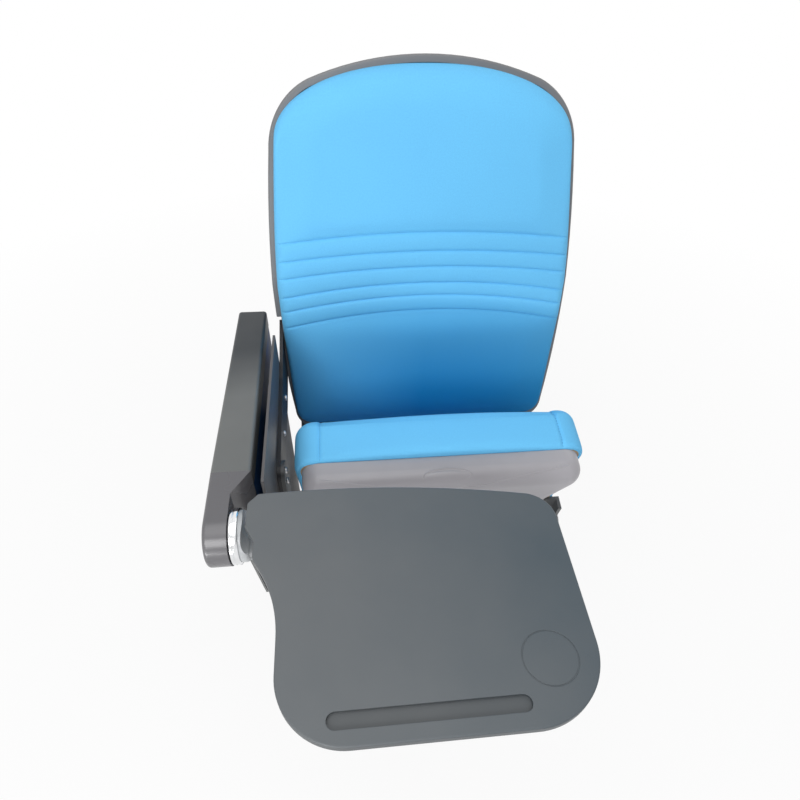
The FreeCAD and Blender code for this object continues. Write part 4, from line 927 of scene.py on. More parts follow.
def add_subdivision(piece: bpy.types.Object) -> None:
    """Smooth a cover by one subdivision.

    Its many-sided caps come off before it, because they would slow it down, and the holes are
    closed again after.

    Args:
        piece: The cover.
    """
    cover = bmesh.new()
    cover.from_mesh(piece.data)
    caps = [face for face in cover.faces if len(face.verts) > 4]
    bmesh.ops.delete(cover, geom=caps, context="FACES_ONLY")
    cover.to_mesh(piece.data)
    cover.free()
    modifier = piece.modifiers.new("smooth", "SUBSURF")
    modifier.levels = 1
    modifier.render_levels = 1
    settle_mesh(piece)
    cover = bmesh.new()
    cover.from_mesh(piece.data)
    open_edges = [edge for edge in cover.edges if edge.is_boundary]
    for face in bmesh.ops.holes_fill(cover, edges=open_edges)["faces"]:
        face.smooth = True
    bmesh.ops.recalc_face_normals(cover, faces=cover.faces)
    cover.to_mesh(piece.data)
    cover.free()


class CoverRow(NamedTuple):
    """A row of points across the back cover.

    It holds the place at its ends, the rise of its middle, its share of the crown's shape, the
    depth of a seam's groove, and the height of the puff between seams.
    """

    end: float
    arch: float
    crown: float = 0.0
    sunk: float = 0.0
    puff: float = 0.0


@dataclass
class BackCushion:
    """Back cushion: crowned cover with six arched channels, filled between its seams."""

    foot_y: float = 78.0
    foot_z: float = 440.0
    recline: float = 14.4
    low: float = -15.0
    shoulder: float = 468.0
    crown_rise: float = 107.0
    crown_square: float = 2.2
    crown_round: float = 0.45
    widths: tuple[tuple[float, float], ...] = (
        (-15.0, 212.0), (-11.0, 222.0), (-5.0, 228.6), (0.0, 231.4), (7.0, 233.8), (14.0, 235.0),
        (40.0, 237.2), (80.0, 239.2), (120.0, 241.0), (160.0, 242.6), (202.0, 244.1),
        (258.0, 245.0), (290.0, 243.6), (320.0, 241.8), (345.0, 240.0), (380.0, 236.9),
        (410.0, 233.8), (440.0, 230.2), (468.0, 226.6),
    )
    seams: tuple[tuple[float, float], ...] = (
        (187.8, 33.5), (216.9, 29.9), (241.1, 26.8), (273.5, 20.4), (301.5, 17.0), (329.7, 17.6),
    )
    arch_power: float = 1.5
    columns: int = 97
    foot_steps: tuple[float, ...] = (0.0, 1.2, 3.5, 7.0, 11.5, 17.0, 23.0, 30.0)
    panel_start: float = 40.0
    panel_step: float = 12.0
    panel_gap: float = 16.0
    seam_steps: tuple[float, ...] = (12.0, 7.0, 4.0, 1.8)
    channel_shares: tuple[float, ...] = (0.06, 0.15, 0.3, 0.5, 0.7, 0.85, 0.94)
    crown_shares: tuple[float, ...] = (
        0.012, 0.03, 0.06, *np.arange(0.1, 0.8, 0.05), 0.8, 0.84, 0.875, 0.905, 0.93, 0.95, 0.967,
        0.982, 0.993, 1.0,
    )
    edge_round: float = 30.0
    side_round: float = 26.0
    side_power: float = 3.0
    side_bulge: float = 3.0
    bulge_reach: float = 40.0
    edge_ahead: float = -2.0
    side_ahead: float = 22.0
    middle_ahead: float = 34.0
    lumbar: float = 11.0
    lumbar_at: float = 275.0
    lumbar_spread: float = 120.0
    foot_drop: float = 19.0
    foot_reach: float = 215.0
    foot_power: float = 1.2
    groove: float = 3.0
    puff: float = 1.6
    seam_fade: float = 14.0
    skirt: tuple[tuple[float, float], ...] = ((-7.0, 3.0), (-14.0, 4.6), (-21.4, 7.0))
    # Painted shade below the lowest seam: its strength, how much less it is towards the arm, and
    # where it starts and how far it reaches.
    tone: float = 1.0
    painted_shade_lit: float = 0.45
    painted_shade_slope: float = 1.3
    painted_shade_start: float = 22.0
    painted_shade_reach: float = 190.0
    painted_shade_power: float = 0.52
    held_rows: int = 2
    held_columns: int = 3
    stitch_inset: int = 4
    stitch_lift: float = 0.5

    def place(self, x: float, along: float, ahead: float) -> Vector:
        """A point of the reclined back.

        Args:
            x: Place across the back.
            along: Distance up the back.
            ahead: Distance ahead of the back.

        Returns:
            The point in metres.
        """
        angle = math.radians(self.recline)
        return Vector((
            x,
            self.foot_y + along * math.sin(angle) - ahead * math.cos(angle),
            self.foot_z + along * math.cos(angle) + ahead * math.sin(angle),
        )) * MM

    def rows(self) -> list[CoverRow]:
        """Rows of the cover.

        Returns:
            The rows from the foot to the crown.
        """
        first_end, first_arch = self.seams[0]
        height = first_end - self.low
        steps = [*self.foot_steps]
        steps += list(np.arange(self.panel_start, height - self.panel_gap, self.panel_step))
        steps += [height - rest for rest in self.seam_steps]
        rows = []
        for step in steps:
            arch = first_arch * (step / height) ** self.arch_power
            rows.append(CoverRow(self.low + step, arch))
        for (end, arch), (next_end, next_arch) in zip(self.seams, self.seams[1:]):
            rows.append(CoverRow(end, arch, sunk=self.groove))
            for share in self.channel_shares:
                puff = self.puff * (1.0 - (2.0 * share - 1.0) ** 2)
                middle = arch + share * (next_arch - arch)
                rows.append(CoverRow(end + share * (next_end - end), middle, puff=puff))
        last_end, last_arch = self.seams[-1]
        rows.append(CoverRow(last_end, last_arch, sunk=self.groove))
        for share in self.crown_shares:
            end = last_end + share * (self.shoulder - last_end)
            arch = last_arch + share ** self.arch_power * (self.crown_rise - last_arch)
            rows.append(CoverRow(end, arch, crown=share ** 2))
        return rows

    def across(self) -> list[float]:
        """Places of the columns from -1 to 1, closer together near the sides."""
        even = np.linspace(-1.0, 1.0, self.columns)
        return [0.5 * w + 0.5 * math.sin(w * math.pi / 2) for w in even]

    def crown_shape(self, u: float) -> float:
        """Outline of the crown from 1 at the middle to 0 at the shoulders."""
        return max(0.0, 1.0 - abs(u) ** self.crown_square) ** self.crown_round

    def surface(self) -> tuple[list[Point], list[int]]:
        """Front of the cover.

        Returns:
            Points as (x, along, ahead), row by row, and the numbers of the rows that are seams.
        """
        ends, widths = zip(*self.widths)
        columns = self.across()
        tops = [self.shoulder + self.crown_rise * self.crown_shape(u) for u in columns]
        points = []
        seam_rows = []
        for number, row in enumerate(self.rows()):
            if row.sunk:
                seam_rows.append(number)
            half = float(np.interp(row.end, ends, widths))
            half += self.side_bulge * quarter(row.end - self.low, self.bulge_reach)
            for u, top in zip(columns, tops):
                bend = (1.0 - row.crown) * (1.0 - u * u) + row.crown * self.crown_shape(u)
                along = row.end + row.arch * bend
                points.append((u * half, along, self.ahead_of(row, u, half, along, top)))
        return points, seam_rows

    def ahead_of(self, row: CoverRow, u: float, half: float, along: float, top: float) -> float:
        """How far a point of the cover stands ahead of the back.

        Args:
            row: Row that it is in.
            u: Its place in the row, from -1 to 1.
            half: Half the row's width.
            along: Its distance up the back.
            top: Where its column ends at the crown.

        Returns:
            The distance ahead.
        """
        inset = half * (1.0 - abs(u))
        lift = (
            quarter(inset, self.side_round, self.side_power)
            * quarter(along - self.low, self.edge_round)
            * quarter(top - along, self.edge_round)
        )
        full = self.side_ahead + (self.middle_ahead - self.side_ahead) * (1.0 - u * u)
        full += self.lumbar * math.exp(-((along - self.lumbar_at) / self.lumbar_spread) ** 2)
        foot = max(0.0, 1.0 - (along - self.low) / self.foot_reach)
        full -= self.foot_drop * foot ** self.foot_power
        fade = min(1.0, inset / self.seam_fade)
        return self.edge_ahead + (full - self.edge_ahead) * lift + (row.puff - row.sunk) * fade

    def front_faces(self, count: int) -> list[Sequence[int]]:
        """Faces of the front.

        Args:
            count: Number of rows.

        Returns:
            The faces, row by row.
        """
        faces: list[Sequence[int]] = []
        for row in range(count - 1):
            for corner in range(row * self.columns, (row + 1) * self.columns - 1):
                above = corner + self.columns
                faces.append((corner, corner + 1, above + 1, above))
        return faces

    def rim(self, count: int) -> list[int]:
        """Edge of the front.

        Args:
            count: Number of rows.

        Returns:
            Point numbers along the foot, up the right side, and back over the crown.
        """
        columns = self.columns
        last = (count - 1) * columns
        rim = list(range(columns))
        rim += [row * columns + columns - 1 for row in range(1, count)]
        rim += [last + column for column in range(columns - 2, -1, -1)]
        rim += [row * columns for row in range(count - 2, 0, -1)]
        return rim

    def turn_under(
        self, rim: list[int], local: list[Point], walked: list[tuple[float, float]],
        faces: list[Sequence[int]],
    ) -> None:
        """Carry the cover from its edge back to the board, and close it there.

        Args:
            rim: Point numbers round the edge of the front.
            local: Points as (x, along, ahead), to which it adds.
            walked: Their places on the flat cloth, to which it adds.
            faces: Faces, to which it adds.
        """
        middle = (self.low + self.shoulder + self.crown_rise) / 2
        ring = rim
        for ahead, tuck in self.skirt:
            start = len(local)
            for corner in rim:
                x, along, old = local[corner]
                reach = math.hypot(x, along - middle)
                shrink = 1.0 - tuck / reach
                unfold = 1.0 + (old - ahead) / reach
                local.append((x * shrink, middle + (along - middle) * shrink, ahead))
                walked.append((x * unfold, middle + (along - middle) * unfold))
            fresh = list(range(start, len(local)))
            for k in range(len(rim)):
                after = (k + 1) % len(rim)
                faces.append((ring[k], fresh[k], fresh[after], ring[after]))
            ring = fresh
        faces.append(tuple(reversed(ring)))

    def set_painted_shade(self, piece: bpy.types.Object, local: list[Point]) -> None:
        """Paint shade into the cloth below the lowest seam, less so towards the arm.

        Args:
            piece: The cover.
            local: Its points as (x, along, ahead).
        """
        end, arch = self.seams[0]
        half = max(width for _, width in self.widths)
        tones = []
        for x, along, _ in local:
            below = end + arch * (1.0 - (x / half) ** 2) + self.painted_shade_start - along
            depth = min(max(below / self.painted_shade_reach, 0.0), 1.0) ** self.painted_shade_power
            lit = self.painted_shade_lit * min(max(-self.painted_shade_slope * x / half, 0.0), 1.0)
            tones.append(self.tone * (1.0 - lit) * depth)
        layer = piece.data.attributes.new(CLOTH_PAINTED_SHADE, "FLOAT", "POINT")
        layer.data.foreach_set("value", tones)

    def held(self, count: int, seam_rows: list[int], total: int) -> np.ndarray:
        """Points that the filling doesn't move: seams, edges, and what is turned under.

        Args:
            count: Number of rows of the front.
            seam_rows: Rows that are seams.
            total: Number of all points.

        Returns:
            1 for a held point and 0 for a free one.
        """
        front = np.zeros((count, self.columns))
        front[seam_rows, :] = 1.0
        front[: self.held_rows, :] = front[-self.held_rows:, :] = 1.0
        front[:, : self.held_columns] = front[:, -self.held_columns:] = 1.0
        held = np.ones(total)
        held[: front.size] = front.ravel()
        return held

    def seam_lines(self, settled: np.ndarray, seam_rows: list[int]) -> list[list[Vector]]:
        """Lines for the stitches.

        Args:
            settled: Points of the filled cover.
            seam_rows: Rows that are seams.

        Returns:
            A line just above each seam, short of the sides.
        """
        ahead = self.place(0.0, 0.0, 1.0) - self.place(0.0, 0.0, 0.0)
        lines = []
        for row in seam_rows:
            first = row * self.columns + self.stitch_inset
            last = (row + 1) * self.columns - self.stitch_inset
            seam = settled[first:last]
            lines.append([Vector(point) + ahead * self.stitch_lift for point in seam])
        return lines

    def build(self) -> bpy.types.Object:
        """Make the cover, fill it, and hand it over with its stitching.

        Returns:
            The cushion.
        """
        local, seam_rows = self.surface()
        count = len(local) // self.columns
        walked = [(x, along) for x, along, _ in local]
        faces = self.front_faces(count)
        self.turn_under(self.rim(count), local, walked, faces)
        points = [self.place(*point) for point in local]
        piece = make_piece("back_cushion_cover", points, faces, Slot.BLUE_CLOTH)
        set_cloth_map(piece, walked)
        self.set_painted_shade(piece, local)
        Swelling().fill(piece, self.held(count, seam_rows, len(local)))
        lines = self.seam_lines(points_of(piece.data), seam_rows)
        add_subdivision(piece)
        hand_over(piece, Body.FRAME, Slot.BLUE_CLOTH, ["back_cushion"])
        Stitching("back_stitching", lines, Body.FRAME).build()
        return piece


@dataclass
class SeatCushion:
    """Seat cushion: boxed cover with a rolled front and a sewn dart near each front corner.

    Its places are as on a level seat, from the pivot. The gap between the front and the arcs of
    its corners is in radians.
    """

    pivot_y: float = -128.0
    pivot_z: float = 338.0
    tip: float = 78.0
    front: float = 249.0
    rear: float = 148.0
    half_front: float = 226.5
    half_rear: float = 204.0
    corner: float = 35.0
    corner_gap: float = 0.06
    corner_steps: int = 13
    bow: float = 10.0
    bow_turn: float = 0.5
    front_steps: int = 61
    side_steps: int = 46
    rear_steps: int = 50
    low: float = 12.4
    top: float = 92.0
    board_rings: tuple[tuple[float, float], ...] = ((9.4, 0.0), (5.0, 0.4), (2.2, 2.6), (0.6, 7.0))
    wall_start: float = 14.0
    wall_rings: int = 4
    edge_round: float = 19.0
    edge_rings: int = 10
    edge_start: float = 9.0
    crown: float = 6.0
    top_rings: int = 15
    held_rings: int = 3
    dart_x: float = 186.0
    dart_depth: float = 2.4
    dart_width: float = 2.6
    dart_reach: float = 12.0
    dart_band: float = 5.0
    dart_offsets: tuple[float, ...] = (-7.0, -4.0, -2.0, 0.0, 2.0, 4.0)
    dart_start: int = 2
    dart_beyond: int = 3
    dart_fade: int = 4
    stitch_lift: float = 0.3
    stitch_fade: float = 0.4

    def place(self, x: float, y: float, z: float) -> Vector:
        """A point of the tipped seat.

        Args:
            x, y, z: The point as on a level seat, from the pivot.

        Returns:
            The point in metres.
        """
        angle = math.radians(self.tip)
        return Vector((
            x,
            self.pivot_y + y * math.cos(angle) + z * math.sin(angle),
            self.pivot_z - y * math.sin(angle) + z * math.cos(angle),
        )) * MM

    def front_run(self) -> list[PlanPoint]:
        """Bowed front between its corners, with more points at the darts.

        Returns:
            Points from left to right.
        """
        run = self.half_front - self.corner
        spots = set(np.linspace(-run, run, self.front_steps))
        for side in (-1, 1):
            for offset in self.dart_offsets:
                if abs(self.dart_x + offset) < run:
                    spots.add(side * (self.dart_x + offset))
        outline = []
        for x in sorted(spots):
            y = -self.front - self.bow * (1.0 - (x / run) ** 2)
            slope = 2.0 * self.bow * x / run ** 2
            size = math.hypot(slope, 1.0)
            outline.append((x, y, slope / size * self.bow_turn, -1.0 / size))
        return outline

    def side_run(self, sign: int) -> list[PlanPoint]:
        """Straight side between its corners.

        Args:
            sign: 1 for the right side, from front to rear; -1 for the left, from rear to front.

        Returns:
            Its points.
        """
        lean = math.atan2(self.half_front - self.half_rear, self.front + self.rear)
        length = self.front + self.rear - 2 * self.corner
        shares = np.linspace(0.0, 1.0, self.side_steps)[1:-1]
        outline = []
        for share in shares if sign > 0 else reversed(shares):
            x = self.half_front + (self.half_rear - self.half_front) * share
            y = -self.front + self.corner + share * length
            outline.append((sign * x, y, sign * math.cos(lean), math.sin(lean)))
        return outline

    def arc(self, x: float, y: float, start: float, end: float) -> list[PlanPoint]:
        """Round of a corner.

        Args:
            x, y: Its centre.
            start, end: Its angles in radians.

        Returns:
            Its points.
        """
        outline = []
        for angle in np.linspace(start, end, self.corner_steps):
            across, along = math.cos(angle), math.sin(angle)
            outline.append((x + self.corner * across, y + self.corner * along, across, along))
        return outline

    def plan(self) -> list[PlanPoint]:
        """Outline seen from above, counterclockwise from the front left.

        Returns:
            Points with their outward directions, as (x, y, across, along).
        """
        front_x, front_y = self.half_front - self.corner, -self.front + self.corner
        rear_x, rear_y = self.half_rear - self.corner, self.rear - self.corner
        straight = np.linspace(rear_x, -rear_x, self.rear_steps)[1:-1]
        return [
            *self.front_run(),
            *self.arc(front_x, front_y, -math.pi / 2 + self.corner_gap, 0.0),
            *self.side_run(1),
            *self.arc(rear_x, rear_y, 0.0, math.pi / 2),
            *((x, self.rear, 0.0, 1.0) for x in straight),
            *self.arc(-rear_x, rear_y, math.pi / 2, math.pi),
            *self.side_run(-1),
            *self.arc(-front_x, front_y, math.pi, 1.5 * math.pi - self.corner_gap),
        ]

    def profile(self) -> list[tuple[float, float]]:
        """Rings of the cover's wall.

        Returns:
            The rings from the board to the top edge, as (inset, height).
        """
        rings = [(inset, self.low + rise) for inset, rise in self.board_rings]
        wall_top = self.top - self.edge_round
        wall = np.linspace(self.low + self.wall_start, wall_top, self.wall_rings)
        rings += [(0.0, height) for height in wall]
        for angle in np.radians(np.linspace(self.edge_start, 90.0, self.edge_rings)):
            inset = self.edge_round * (1 - math.cos(angle))
            rings.append((inset, wall_top + self.edge_round * math.sin(angle)))
        return rings

    def points(self, outline: list[PlanPoint]) -> tuple[list[Point], list[tuple[float, float]]]:
        """Points of the cover, ring by ring.

        Args:
            outline: Its plan.

        Returns:
            The points as on a level seat, and their places on the flat cloth.
        """
        local: list[Point] = []
        walked: list[tuple[float, float]] = []
        profile = self.profile()
        steps = [math.dist(one, two) for one, two in zip(profile, profile[1:])]
        for number, (inset, height) in enumerate(profile):
            unfold = sum(steps[number:]) - self.edge_round
            for x, y, across, along in outline:
                local.append((x - across * inset, y - along * inset, height))
                walked.append((x + across * unfold, y + along * unfold))
        edge = local[-len(outline):]
        middle = (self.rear - self.front) / 2
        for share in np.linspace(1.0, 0.0, self.top_rings)[1:-1]:
            height = self.top + self.crown * (1.0 - share ** 2)
            for x, y, _ in edge:
                spot = (x * share, middle + (y - middle) * share)
                local.append((*spot, height))
                walked.append(spot)
        return local, walked

    def build(self) -> bpy.types.Object:
        """Make the cover, fill it, sew its darts, and hand it over with its stitching.

        Returns:
            The cushion.
        """
        outline = self.plan()
        around = len(outline)
        local, walked = self.points(outline)
        rings = len(local) // around
        faces = [tuple(reversed(range(around))), *ring_faces(rings, around)]
        faces.append(tuple(range((rings - 1) * around, rings * around)))
        points = [self.place(*point) for point in local]
        piece = make_piece("seat_cushion_cover", points, faces, Slot.BLUE_CLOTH)
        set_cloth_map(piece, walked)
        held = np.zeros(len(local))
        held[: self.held_rings * around] = 1.0
        Swelling().fill(piece, held)
        lines = self.sew_darts(piece, outline, rings)
        add_subdivision(piece)
        hand_over(piece, Body.SEAT, Slot.BLUE_CLOTH, ["seat_cushion"])
        Stitching("seat_stitching", lines, Body.SEAT).build()
        return piece

    def sew_darts(
        self, piece: bpy.types.Object, outline: list[PlanPoint], rings: int,
    ) -> list[list[Vector]]:
        """Draw the cover in along the two darts at the front.

        Args:
            piece: The filled cover.
            outline: Its plan, one entry for each column.
            rings: Number of rings from the board to the middle of the top.

        Returns:
            The lines that the stitches follow.
        """
        points = points_of(piece.data)
        normals = np.zeros(len(points) * 3)
        piece.data.vertices.foreach_get("normal", normals)
        normals = normals.reshape(-1, 3)
        edge = len(self.profile())
        lines = []
        for side in (-1, 1):
            line = []
            for ring in range(self.dart_start, min(edge + self.dart_beyond, rings)):
                fade = min(1.0, max(0.0, 1.0 - (ring - edge + 1) / self.dart_fade))
                for k, (x, y, _, _) in enumerate(outline):
                    gap = abs(x - side * self.dart_x)
                    if y > -self.front + self.dart_band or gap > self.dart_reach:
                        continue
                    index = ring * len(outline) + k
                    drawn = self.dart_depth * MM * fade * math.exp(-(gap / self.dart_width) ** 2)
                    points[index] -= normals[index] * drawn
                    if gap < 0.01 and fade > self.stitch_fade:
                        lift = Vector(normals[index]) * self.stitch_lift * MM
                        line.append(Vector(points[index]) + lift)
            lines.append(line)
        piece.data.vertices.foreach_set("co", points.ravel())
        piece.data.update()
        return lines


class GeometryTree:
    """A Geometry Nodes tree with named inputs, run once on a carrier and settled to a mesh."""

    def __init__(self, name: str, inputs: dict[str, str]) -> None:
        """Start the tree with a geometry and a material to take in and a geometry to give.

        Args:
            name: Name of the tree.
            inputs: Names of its further inputs and the word of their type.
        """
        self.tree = bpy.data.node_groups.new(name, "GeometryNodeTree")
        self.tree.is_modifier = True
        new = self.tree.interface.new_socket
        new(name="Geometry", in_out="INPUT", socket_type="NodeSocketGeometry")
        self.names: dict[str, str] = {}
        for label, kind in {**inputs, "Material": "Material"}.items():
            socket = new(name=label, in_out="INPUT", socket_type=f"NodeSocket{kind}")
            self.names[label] = socket.identifier
        new(name="Geometry", in_out="OUTPUT", socket_type="NodeSocketGeometry")
        self.graph = Graph(self.tree)
        self.given = self.graph.add("NodeGroupInput").outputs
        self.made = self.graph.add("NodeGroupOutput").inputs

    def node(self, kind: str, feeds: dict[str, object], **settings: object) -> Sockets:
        """Add a node and feed it.

        Args:
            kind: Type name of the node.
            feeds: Outputs or values for its inputs, by name.
            settings: Properties to set on it.

        Returns:
            Its outputs.
        """
        node = self.graph.add(kind, **settings)
        for label, value in feeds.items():
            self.graph.feed(node.inputs[label], value)
        return node.outputs

    def curves(self, step: object) -> Socket:
        """Make curves with even points of the carrier's lines.

        Args:
            step: Distance between the points, as an output or in metres.

        Returns:
            The curves.
        """
        lines = self.node("GeometryNodeMeshToCurve", {"Mesh": self.given["Geometry"]})["Curve"]
        feeds = {"Curve": lines, "Length": step}
        return self.node("GeometryNodeResampleCurve", feeds, mode="LENGTH")["Curve"]

    def smooth(self, geometry: Socket) -> Socket:
        """Shade a geometry smooth."""
        return self.node("GeometryNodeSetShadeSmooth", {"Geometry": geometry})["Geometry"]

    def close(self, geometry: Socket) -> None:
        """End the tree in Realize Instances and Set Material.

        Args:
            geometry: What the tree has made.
        """
        plain = self.node("GeometryNodeRealizeInstances", {"Geometry": geometry})["Geometry"]
        feeds = {"Geometry": plain, "Material": self.given["Material"]}
        covered = self.node("GeometryNodeSetMaterial", feeds)["Geometry"]
        self.graph.feed(self.made["Geometry"], covered)

    def run(self, piece: bpy.types.Object, **values: object) -> None:
        """Put the tree on a carrier, set its inputs and settle the result.

        Args:
            piece: Carrier whose mesh the tree takes in.
            values: Inputs by name.
        """
        modifier = piece.modifiers.new(self.tree.name, "NODES")
        modifier.node_group = self.tree
        for label, value in values.items():
            modifier[self.names[label]] = value
        settle_mesh(piece)
        bpy.data.node_groups.remove(self.tree)


def make_carrier(
    name: str, lines: Sequence[Sequence[Vector]], closed: bool = False,
) -> bpy.types.Object:
    """A mesh of bare lines for a tree to follow.

    Args:
        name: Name of the piece that it becomes.
        lines: Points of each line, in metres.
        closed: Whether each line returns to its start.

    Returns:
        The linked object.
    """
    points: list[Point] = []
    edges = []
    for line in lines:
        start = len(points)
        points += [tuple(point) for point in line]
        edges += [(start + k, start + k + 1) for k in range(len(line) - 1)]
        if closed:
            edges.append((len(points) - 1, start))
    mesh = bpy.data.meshes.new(name)
    mesh.from_pydata(points, edges, [])
    piece = bpy.data.objects.new(name, mesh)
    bpy.context.scene.collection.objects.link(piece)
    return piece


def beads_on_lines(name: str, segments: int = 8, rings: int = 5) -> GeometryTree:
    """A tree that sets long beads along lines: stitches, or the ripples of a weld.

    Args:
        name: Name of the tree.
        segments, rings: Steps round a bead and along it.

    Returns:
        The tree, with inputs for pitch, length and thickness.
    """
    tree = GeometryTree(name, {"Pitch": "Float", "Length": "Float", "Thickness": "Float"})
    length, thickness = tree.given["Length"], tree.given["Thickness"]
    tangent = tree.node("GeometryNodeInputTangent", {})["Tangent"]
    along = tree.node("FunctionNodeAlignRotationToVector", {"Vector": tangent}, axis="Z")
    shape = {"Radius": 0.5, "Segments": segments, "Rings": rings}
    bead = tree.node("GeometryNodeMeshUVSphere", shape)["Mesh"]
    size = tree.node("ShaderNodeCombineXYZ", {"X": thickness, "Y": thickness, "Z": length})
    beads = tree.node("GeometryNodeInstanceOnPoints", {
        "Points": tree.curves(tree.given["Pitch"]), "Instance": tree.smooth(bead),
        "Rotation": along["Rotation"], "Scale": size["Vector"],
    })
    tree.close(beads["Instances"])
    return tree


def ridge_on_lines(name: str, step: float = 2.0, sides: int = 10) -> GeometryTree:
    """A tree that runs a round ridge along lines.

    Args:
        name: Name of the tree.
        step: Length of its faces.
        sides: Number of faces round it.

    Returns:
        The tree, with an input for the radius.
    """
    tree = GeometryTree(name, {"Radius": "Float"})
    shape = {"Resolution": sides, "Radius": tree.given["Radius"]}
    ring = tree.node("GeometryNodeCurvePrimitiveCircle", shape, mode="RADIUS")["Curve"]
    feeds = {"Curve": tree.curves(step * MM), "Profile Curve": ring, "Fill Caps": True}
    tree.close(tree.smooth(tree.node("GeometryNodeCurveToMesh", feeds)["Mesh"]))
    return tree


@dataclass
class Stitching:
    """Rows of stitches along sewn lines."""

    name: str
    lines: list[list[Vector]]
    body: Body
    pitch: float = 5.0
    length: float = 3.4
    thickness: float = 0.75
    tone: float = 0.62

    def build(self) -> bpy.types.Object:
        """Set the stitches along the lines and hand them over.

        Returns:
            The stitches as one mesh.
        """
        piece = make_carrier(self.name, self.lines)
        finish = Upholstery("blue_thread", shade(BLUE, self.tone)[:3], thread=0.3, sheen=0.1)
        beads_on_lines("stitch_rows").run(
            piece, Pitch=self.pitch * MM, Length=self.length * MM, Thickness=self.thickness * MM,
            Material=finish.material(),
        )
        hand_over(piece, self.body, Slot.BLUE_CLOTH)
        return piece


def round_steps(count: int) -> np.ndarray:
    """Even steps round a circle, in radians."""
    return np.linspace(0.0, math.tau, count, endpoint=False)


def ring_about_x(x: float, y: float, z: float, radius: float, count: int) -> list[Vector]:
    """Points round an axis along X.

    Args:
        x, y, z: Centre of the ring.
        radius: Its radius.
        count: Number of points.

    Returns:
        The points in metres.
    """
    return [
        Vector((x, y + radius * math.cos(angle), z + radius * math.sin(angle))) * MM
        for angle in round_steps(count)
    ]


@dataclass
class WeldBeads:
    """Weld beads where the stand's steel meets its foot plates and the tie meets the posts.

    Each foot is given as its left, right, front and rear.
    """

    floor: float = 8.0
    feet: tuple[tuple[float, float, float, float], ...] = (
        (-229.0, -199.0, 50.0, 100.0), (199.0, 229.0, 50.0, 100.0),
        (-317.0, -276.0, -60.0, -10.0), (-247.0, -241.0, -165.0, -125.0),
    )
    tie_ends: tuple[float, ...] = (-199.0, 199.0)
    tie_y: float = 75.0
    tie_z: float = 160.0
    tie_radius: float = 19.0
    tie_steps: int = 40
    lift: float = 0.8
    pitch: float = 2.2
    length: float = 5.5
    thickness: float = 6.2

    def build(self) -> bpy.types.Object:
        """Run beads round every foot and both ends of the tie.

        Returns:
            The beads as one mesh.
        """
        lines = []
        for left, right, front, rear in self.feet:
            corners = ((left, front), (right, front), (right, rear), (left, rear))
            lines.append([Vector((x, y, self.floor + self.lift)) * MM for x, y in corners])
        for end in self.tie_ends:
            x = end - math.copysign(self.lift, end)
            lines.append(ring_about_x(x, self.tie_y, self.tie_z, self.tie_radius, self.tie_steps))
        piece = make_carrier("weld_beads", lines, closed=True)
        beads_on_lines("weld_ripples").run(
            piece, Pitch=self.pitch * MM, Length=self.length * MM, Thickness=self.thickness * MM,
            Material=Slot.FRAME_PAINT.value.material(),
        )
        hand_over(piece, Body.FRAME, Slot.FRAME_PAINT)
        return piece


@dataclass
class Lathe:
    """A turned piece about an axis along X, from a profile of (x, radius)."""

    name: str
    slot: Slot
    profile: tuple[tuple[float, float], ...]
    axis_y: float = -310.0
    axis_z: float = 610.0
    segments: int = 96
    sharp: float = 40.0

    def build(self, body: Body, nodes: Iterable[str] = ()) -> bpy.types.Object:
        """Turn the profile, close both ends and hand the piece over.

        Args:
            body: Body that it rides on.
            nodes: Nodes that it stands for.

        Returns:
            The turned piece.
        """
        points: list[Vector] = []
        for x, radius in self.profile:
            points += ring_about_x(x, self.axis_y, self.axis_z, radius, self.segments)
        faces = ring_faces(len(self.profile), self.segments)
        faces.append(tuple(reversed(range(self.segments))))
        faces.append(tuple(range(len(points) - self.segments, len(points))))
        piece = make_piece(self.name, points, faces, self.slot)
        piece.data.set_sharp_from_angle(angle=math.radians(self.sharp))
        hand_over(piece, body, self.slot, nodes)
        return piece


@dataclass
class HingeHead:
    """The bright drum of the tablet's swing and the grey boss on its face."""

    drum: tuple[tuple[float, float], ...] = (
        (-293.4, 33.8), (-293.2, 34.8), (-292.5, 35.7), (-291.6, 36.0), (-288.9, 36.0),
        (-288.5, 35.5), (-287.7, 35.5), (-287.3, 36.0), (-283.8, 36.0), (-282.9, 35.7),
        (-282.2, 34.8), (-282.0, 33.8),
    )
    boss_base: float = -282.2
    boss_radius: float = 32.5
    boss_foot: float = 0.6
    boss_rise: float = 19.0
    boss_turn: tuple[float, float] = (4.0, 88.0)
    boss_rings: int = 16
    boss_power: float = 0.8
    boss_segments: int = 72
    fold_x: float = -251.0
    fold_z: float = 632.0
    heel: float = 29.0

    def boss(self) -> tuple[tuple[float, float], ...]:
        """Profile of the domed boss.

        Returns:
            Its rings from foot to top, as (x, radius).
        """
        profile = [(self.boss_base, self.boss_radius - self.boss_foot)]
        for angle in np.radians(np.linspace(*self.boss_turn, self.boss_rings)):
            x = self.boss_base + self.boss_rise * math.sin(angle)
            profile.append((x, self.boss_radius * math.cos(angle) ** self.boss_power))
        return tuple(profile)

    def build(self) -> None:
        """Turn both, and hollow the boss where the heel of the tablet passes."""
        Lathe("swing_drum_ring", Slot.CHROME, self.drum).build(Body.HINGE_HEAD, ["swing_drum"])
        boss = Lathe("hinge_boss", Slot.KNUCKLE_GREY, self.boss(), segments=self.boss_segments)
        piece = boss.build(Body.HINGE_HEAD)
        for vertex in piece.data.vertices:
            rise = vertex.co.z / MM - self.fold_z
            if abs(rise) < self.heel:
                limit = self.fold_x - math.sqrt(self.heel ** 2 - rise ** 2)
                vertex.co.x = min(vertex.co.x, max(limit, self.boss_base) * MM)
        piece.data.update()


